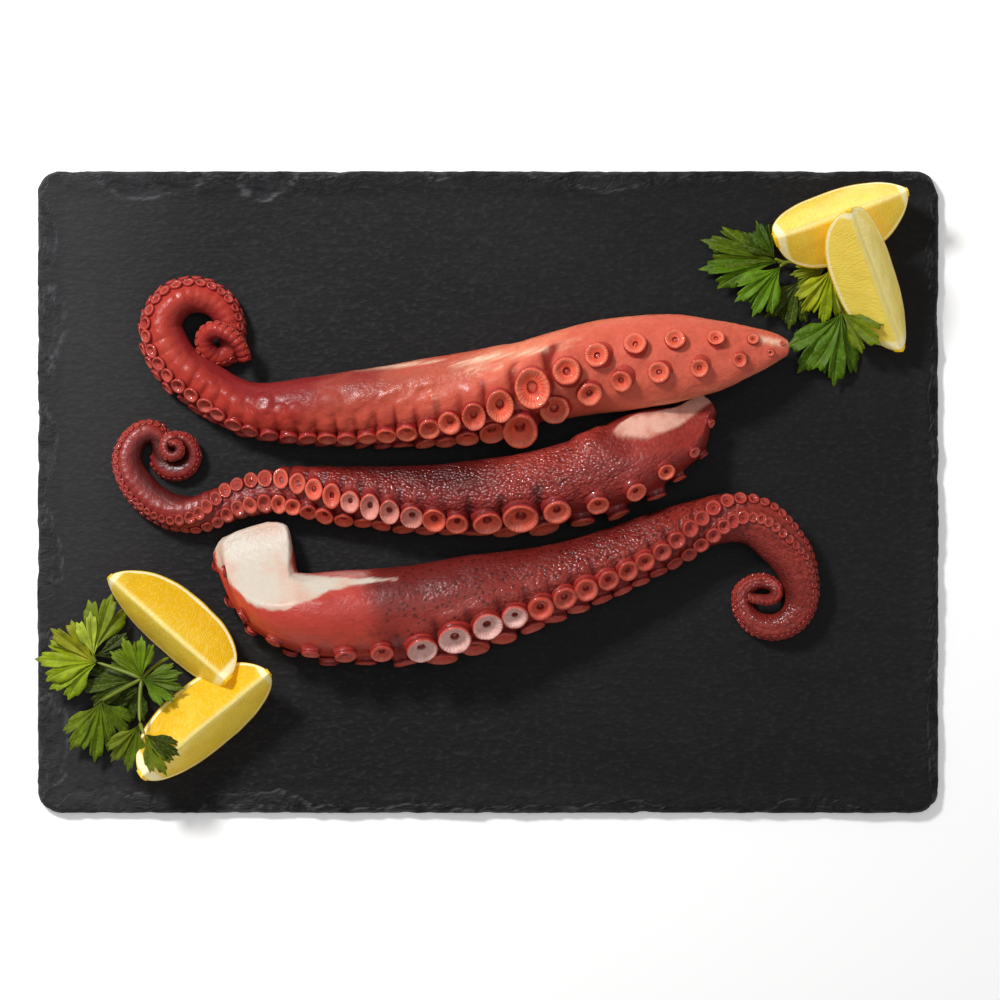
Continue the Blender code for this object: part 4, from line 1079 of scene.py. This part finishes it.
bottom_skin = arm_skin(
    "arm_bottom_skin", bottom_line, bottom_cups, brick.material, seed=9, rough=0.4, columns=0.12,
    pebbled=[(0, 0.05), (75, 0.05), (105, 0.15), (140, 0.45), (170, 0.6), (200, 0.9), (280, 0.6)],
    zone=dark_side, knobs=[(-75, -47, 5, 0.7)], pale_and_highlight_marks=[(-89, -34.7, -58, -36.9, 3.0)], cut=long_cut)
bottom_suckers = arm_suckers(
    "arm_bottom_suckers", bottom_cups, bottom_cup_look.material,
    lambda cup: float(BOTTOM_PALE_CUPS[0] < cup["distance"] < BOTTOM_PALE_CUPS[1] and cup["row"] == -1))
for piece in (bottom_skin, bottom_suckers):
    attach(piece, "root")
    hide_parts("arm_bottom")

# ---------------------------------------------------------------------------------------------
# Four lemon wedges. Cut lengthwise from whole lemons and laid rind down: two flat faces of wet
# pulp in fine radiating sacs, a ridge of white core, and a band of pith inside the yellow rind.
# ---------------------------------------------------------------------------------------------
LEMON_HALF_LENGTH, LEMON_RADIUS = 36.5, 27.5
# Middle x, y, height of the core, heading, pitch, roll, half angle, shares of length and radius,
# and how deep the pulp is in colour on the two faces, partly painted light: set face by face to
# how bright each face looks, and below 0 a face in shade is painted paler.
WEDGES = {
    "lemon_back_right": (161.4, 127.0, 27.6, 19.7, 0.0, -10.5, 39.0, 0.89, 1.0, (0.35, 0.15)),
    "lemon_front_right": (177.4, 95.2, 32.5, 115.5, -31.0, 4.0, 36.0, 1.08, 0.92, (-0.4, -0.15)),
    "lemon_back_left": (-146.7, -62.9, 25.7, 139.0, 4.0, -10.0, 37.0, 1.0, 0.92, (1.0, 0.3)),
    "lemon_front_left": (-128.9, -106.7, 27.6, 39.2, 0.0, 11.0, 37.0, 1.04, 1.0, (0.1, 0.95))}
PITH = 2.3  # thickness under the rind
SAC = 0.0011  # metres across
WEDGE_STEPS, ON_CUT, ON_RIND = 90, 16, 26


def lemon_radius(t):
    """Radius of the fruit along its length: a drawn-out nipple at one end, a round stem end."""
    nipple, stem_end = max(0, 1 - abs(t) ** 2.3) ** 0.62, max(0.04, 1 - abs(t) ** 2.7) ** 0.5
    return LEMON_RADIUS * (max(nipple, 0.12) if t > 0 else stem_end)


def lemon_wedge(name, place, material, seed):
    """One wedge as a row of sections, each out along one cut face, round the rind and back."""
    x, y, height, heading, pitch, roll, half_angle, stretch, girth, depth = place
    points, faces, gap, cut, sacs, deep = [], [], [], [], [], []
    shares = [s ** 0.8 for s in np.linspace(0, 1, ON_CUT + 1)]
    ring = [(share, -half_angle, 1) for share in shares[:-1]]
    ring += [(1.0, angle, 0) for angle in np.linspace(-half_angle, half_angle, ON_RIND + 1)]
    ring += [(share, half_angle, 1) for share in shares[-2:0:-1]]
    for i in range(WEDGE_STEPS + 1):
        t = -math.cos(math.pi * i / WEDGE_STEPS)
        along, radius = t * LEMON_HALF_LENGTH * stretch, lemon_radius(t) * girth
        to_end = (1 - abs(t)) * LEMON_HALF_LENGTH * (0.6 if t > 0 else 0.42)
        for share, angle, face in ring:
            swell = 0.5 * face * math.sin(math.pi * share) * min(1, radius / 12)
            turn = math.radians(angle) + math.copysign(swell / max(radius * share, 2), angle)
            points.append((along, radius * share * math.sin(turn), -radius * share * math.cos(turn)))
            gap.append(face * min((1 - share) * radius, to_end))
            deep.append(depth[1 if angle > 0 else 0])
            cut.append(face)
            sacs.append((along * (1 - 0.35 * (1 - share)), radius * share, math.copysign(9, angle)))
    row = len(ring)
    for i in range(WEDGE_STEPS):
        faces += [(i * row + k, i * row + (k + 1) % row, (i + 1) * row + (k + 1) % row, (i + 1) * row + k)
                  for k in range(row)]
    faces += [list(range(row))[::-1], [WEDGE_STEPS * row + k for k in range(row)]]
    points = np.array(points)
    for angle, (a, b) in ((roll, (1, 2)), (pitch, (2, 0)), (heading, (0, 1))):
        c, s = math.cos(math.radians(angle)), math.sin(math.radians(angle))
        u, v = points[:, a].copy(), points[:, b].copy()
        points[:, a], points[:, b] = c * u - s * v, s * u + c * v
    points += (x, y, height)
    points += 0.25 * np.column_stack([grain(points, 9.0, seed + k) for k in range(3)])
    points[:, 2] = np.maximum(points[:, 2], GAP)
    piece = mesh_piece(name, points, faces, material)
    write_back(piece, points, {"inward": gap, "cut": cut, "sacs": np.array(sacs) * MM, "deep": deep})
    return piece


# Painted light: the whole lemon glows a little golden, to lift the faces that lie in shade.
lemon = Look("cut_lemon", Subsurface_Weight=0.22, Subsurface_Radius=(1.0, 0.9, 0.35),
             Subsurface_Scale=0.004, Emission_Color=(1.0, 0.62, 0.01, 1.0), Emission_Strength=0.16,
             Specular_IOR_Level=0.3, Coat_Roughness=0.12, Coat_IOR=1.36)
inward, cut, sacs = lemon.stored("inward"), lemon.stored("cut"), lemon.stored("sacs", "Vector")
sac = lemon.cells(SAC, lemon.scaled((1.0, 0.22, 1.0), sacs), "F1")
walls = lemon.cells(SAC, lemon.scaled((1.0, 0.22, 1.0), sacs), "DISTANCE_TO_EDGE")
# Partly painted light: each face's pulp is deepened or paled by its own value, set to how that face is lit;
# below 0 it is painted paler to lift a face out of shade.
pulp = lemon.mixed(lemon.stored("deep") * 0.8 + 0.35 * lemon.cloud(0.012, 3.0).between(0.62, 0.38),
                   tint(240, 218, 92), tint(222, 172, 6))
pulp = lemon.mixed(lemon.stored("deep").between(0.0, -0.5), pulp, tint(255, 242, 140))
pulp = lemon.mixed(walls.between(0.16, 0.02) * 0.14, pulp, tint(254, 238, 150))
pulp = lemon.mixed(sac.between(0.3, 0.75) * 0.1, pulp, tint(214, 152, 2))
from_core = lemon.add("ShaderNodeVectorMath", {"operation": "LENGTH"},
                      {0: lemon.scaled((0.0, 1.0, 0.0), sacs)}, "Value")
pulp = lemon.mixed(from_core.between(0.0034, 0.0004) * 0.55, pulp, tint(252, 240, 176))
pith = lemon.mixed(inward.between(0.35, 0.9), tint(242, 190, 8), tint(254, 246, 200))
opened = lemon.mixed((inward + 1.2 * lemon.cloud(0.006)).between(PITH + 0.2, PITH + 1.0), pith, pulp)
rind = lemon.mixed(lemon.cloud(0.008, 2.0), tint(236, 172, 2), tint(246, 194, 12))
lemon.feed("Base Color", lemon.mixed(cut, rind, opened))
lemon.feed("Roughness", 0.42 - 0.14 * cut)
lemon.feed("Coat Weight", 0.5 * cut * lemon.cloud(0.004, 2.0).between(0.35, 0.65))
pores = lemon.cells(0.0013, None, "F1")
height = cut * 0.4 * (1 - walls.between(0.14, 0.0)) + (1 - cut) * pores
lemon.feed("Normal", lemon.raised(height, 0.6, 0.0004))
for number, (node, place) in enumerate(WEDGES.items()):
    wedge = lemon_wedge(node + "_flesh", place, lemon.material, number + 20)
    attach(wedge, "root")
    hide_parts(node)

# ---------------------------------------------------------------------------------------------
# Two sprigs of flat parsley. Thin green stems that fork to thin soft leaves; each leaf is a fan
# of toothed lobes with a sunken middle vein. Each leaf has its own green; the low ones are
# painted darker, painted shade where they lie under the others.
# ---------------------------------------------------------------------------------------------
# Leaves: base x, y, z, heading, length, half spread, rise to the tip, lobes and green, darker
# for the low leaves as painted shade.
# Stems: from, bent towards, to.
RIGHT_LEAVES = [
    (134.5, 106.7, 5.0, 174, 38, 24, 1, 2, (66, 92, 0)),
    (133.1, 108.5, 6.2, 128, 19, 26, 2, 2, (48, 66, 0)),
    (135.9, 104.8, 7.0, 229, 28, 25, 3, 2, (80, 108, 0)),
    (144.7, 98.3, 2.4, 243, 23.5, 34, 0, 2, (46, 60, 0)),
    (159.6, 103.9, 7.6, 262, 26, 42, -5, 3, (128, 138, 2)),
    (157.4, 105.0, 4.6, 205, 18, 25, 0, 2, (108, 116, 2)),
    (163.9, 83.3, 7.8, 250, 35, 34, -3, 2, (66, 92, 0)),
    (163.9, 83.3, 8.0, 316, 25, 18, 17, 1, (84, 112, 2))]
RIGHT_STEMS = [
    ((163, 104, 4.5), (148, 108, 3.5), (134.3, 106.6, 5)),
    ((139, 106.6, 4), (136, 107, 5), (133, 108.6, 6)),
    ((139, 106.6, 4), (137, 106, 5), (135.6, 104.6, 6.6)),
    ((152, 106.2, 3.6), (147, 102, 2.8), (144.5, 98, 2.4)),
    ((162, 104.3, 4.5), (161, 104, 7), (159.5, 103.6, 7.8)),
    ((160.2, 104.3, 6), (160.4, 93, 4.5), (163.8, 83.2, 7.6))]
LEFT_LEAVES = [
    (-181.0, -79.2, 10.0, 176, 27, 54, 0, 3, (128, 136, 14)),
    (-182.4, -76.7, 11.2, 93, 21, 16, 2, 1, (150, 160, 50)),
    (-182.2, -74.1, 10.9, 73, 26, 18, -1, 1, (110, 124, 16)),
    (-182.3, -75.7, 11.0, 14, 21, 15, -3, 1, (40, 50, 4)),
    (-162.5, -87.1, 8.0, 188, 27, 17, -3, 1, (52, 60, 6)),
    (-159.7, -85.7, 13.5, 115, 19.5, 42, 2, 3, (96, 116, 10)),
    (-159.6, -86.3, 14.2, -12, 20.5, 36, 5, 3, (76, 98, 8)),
    (-179.2, -97.2, 8.4, 250, 28, 30, -2, 2, (84, 106, 8)),
    (-179.1, -97.1, 8.4, 308, 19, 18, -4, 1, (70, 90, 8)),
    (-160.2, -89.8, 5.0, 233, 20, 34, -2, 2, (40, 50, 4)),
    (-159.8, -106.5, 21.5, 243, 25, 24, -9, 2, (86, 108, 10)),
    (-156.8, -110.3, 29.5, 298, 20.5, 14, -1, 1, (94, 114, 14)),
    (-156.5, -110.4, 29.3, 328, 18.5, 14, -1, 1, (48, 60, 4))]
LEFT_STEMS = [
    ((-148.1, -76.9, 4.5), (-155, -80, 9), (-159.8, -86.2, 14)),
    ((-159.8, -86.2, 14), (-170, -82, 12), (-181.3, -78.8, 10)),
    ((-181.3, -78.8, 10), (-183, -77, 11), (-182.3, -74, 10.8)),
    ((-159.8, -86.2, 14), (-169, -91, 11), (-179.3, -96.9, 8)),
    ((-159.8, -86.2, 14), (-160.5, -87.5, 8), (-160.2, -90, 5)),
    ((-159.8, -86.2, 14), (-161.2, -86.7, 10), (-162.7, -87, 8)),
    ((-159.8, -86.2, 14), (-161, -98, 17), (-159.5, -106, 21.6)),
    ((-159.5, -106, 21.6), (-158.5, -108, 26), (-156.6, -110.4, 29))]
SPRIGS = {"parsley_right": (RIGHT_LEAVES, RIGHT_STEMS), "parsley_left": (LEFT_LEAVES, LEFT_STEMS)}
LOBE_HALF_ANGLE = 44  # degrees, the fan that one leaflet opens to
STEM_RINGS, STEM_FACES = 24, 12


def lobe_blank(columns=66, rows=7):
    """One leaflet, one unit long: a wedge that opens into three toothed lobes, each with a vein.
    Its place on the blade is kept as share of the length, distance from a vein, and side."""
    points, faces, blade = [], [], []
    for side in (1, -1):
        for i in range(rows + 1):
            v = i / rows
            for k in range(columns + 1):
                u = 2 * k / columns - 1
                lobe = abs(math.cos(1.5 * math.pi * u))
                tooth = abs(2 * ((4.5 * u + 0.5) % 1) - 1)
                reach = (1 - 0.22 * u * u) * (0.68 + 0.32 * lobe ** 0.6) * (1 - 0.1 * tooth) * max(v, 0.03)
                turn = math.radians(LOBE_HALF_ANGLE) * u * (0.4 + 0.6 * v)
                off = abs((1.5 * u + 0.5) % 1 - 0.5) * v
                points.append((reach * math.cos(turn), reach * math.sin(turn),
                               0.16 * off - 0.1 * v * v * (u * u + 0.3) + side * 0.006))
                blade.append((v, off, side))
    row, layer = columns + 1, (rows + 1) * (columns + 1)
    for i in range(rows):
        for k in range(columns):
            a = i * row + k
            b = layer + a
            faces += [(a, a + row, a + row + 1, a + 1), (b, b + 1, b + row + 1, b + row)]
        for a in (i * row, i * row + columns):
            faces.append((a, a + row, layer + a + row, layer + a))
    for a in range(columns):
        for start in (a, rows * row + a):
            faces.append((start, start + 1, layer + start + 1, layer + start))
    return blank("lobe_blank", points, faces, {"blade": blade})


LOBE = lobe_blank()


def sprig_leaves(name, leaves, material, seed):
    """The leaves of a sprig: each a fan of lobes round its base, laid one over the next."""
    chance = random.Random(seed)
    feet, facing, across, size, hue = [], [], [], [], []
    for x, y, z, heading, length, spread, rise, lobes, green in leaves:
        for i in range(lobes):
            lean = math.radians(spread) * (1 - 2 * (i + 0.5) / lobes)
            reach = length * (1 - 0.16 * abs(lean / math.radians(spread)) ** 1.5) * chance.uniform(1.03, 1.1)
            turn = math.radians(heading) + lean * 0.9
            ahead = unit(np.array((math.cos(turn) * reach, math.sin(turn) * reach, rise * 0.8)))
            side = np.cross(UP, ahead)
            up = unit(np.cross(ahead, side) + side * chance.uniform(-0.35, 0.35))
            width = (spread / lobes * 1.3 + 10) / LOBE_HALF_ANGLE
            feet.append((x, y, z + 0.25 * i))
            facing.append(up)
            across.append(ahead)
            size.append((reach * MM, reach * min(width, 1.1) * MM, reach * MM))
            # Each leaf's green, darker for the low leaves: painted shade.
            hue.append(tint(*(c * chance.uniform(1.08, 1.26) for c in green))[:3])
    seat = stored_points(name, feet, {"facing": facing, "across": across, "size": size, "hue": hue})
    piece = modified(seat, SET_ON_POINTS, {"Blank": LOBE, "Material": material})
    points = laid_out(piece)
    points[:, 2] += 1.1 * grain(points * (1, 1, 0), 9.0, seed, 2)
    points[:, 2] = np.maximum(points[:, 2], GAP + 0.12 * stored_on(piece, "blade")[:, 2])
    write_back(piece, points, {})
    return piece


def sprig_stems(name, stems, material):
    """The stems of a sprig: thin round rods, each bent once, that taper away from the cut end."""
    made = []
    for number, (a, b, c) in enumerate(np.array(stems, float)):
        t = np.linspace(0, 1, STEM_RINGS)[:, None]
        middle = (1 - t) ** 2 * a + 2 * t * (1 - t) * b + t ** 2 * c
        ahead = unit(np.gradient(middle, axis=0))
        side = unit(np.cross(ahead, UP))
        thick = np.linspace(0.95, 0.7, STEM_RINGS)
        middle[:, 2] = np.maximum(middle[:, 2], GAP + 1)
        line = {"middle": middle, "side": side, "mouth": np.cross(side, ahead), "wide": thick, "deep": thick}
        made.append(rod(f"{name}_{number}", line, STEM_FACES, material))
    piece = joined(made, name)
    write_back(piece, laid_out(piece), {})
    return piece


leaf = Look("parsley_leaf", Specular_IOR_Level=0.2)
blade, hue = leaf.stored("blade", "Vector"), leaf.stored("hue", "Vector")
v, aside = leaf.parts(blade, "XY")
rib = aside.between(0.035, 0.008)
twigs = ((v - 0.9 * aside) * 42).wave().between(0.75, 1.0)
green = leaf.mixed(leaf.cloud(0.004, 3.0).between(0.35, 0.7) * 0.45, hue, tint(34, 48, 0))
green = leaf.mixed(rib.most(0.6 * twigs) * 0.35, green, tint(150, 165, 70))
leaf.feed("Base Color", green)
leaf.feed("Roughness", 0.34 + 0.3 * leaf.cloud(0.005))
leaf.feed("Normal", leaf.raised(leaf.cloud(0.002, 2.0) - rib - 0.6 * twigs, 0.5, 0.0004))
stalk = Look("parsley_stem", Roughness=0.42)
stalk.feed("Base Color", stalk.mixed(stalk.cloud(0.005, 2.0), tint(88, 104, 20), tint(134, 146, 40)))
for number, (node, (leaves, stems)) in enumerate(SPRIGS.items()):
    for piece in (sprig_leaves(node + "_leaves", leaves, leaf.material, number + 31),
                  sprig_stems(node + "_stems", stems, stalk.material)):
        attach(piece, "root")
        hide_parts(node)
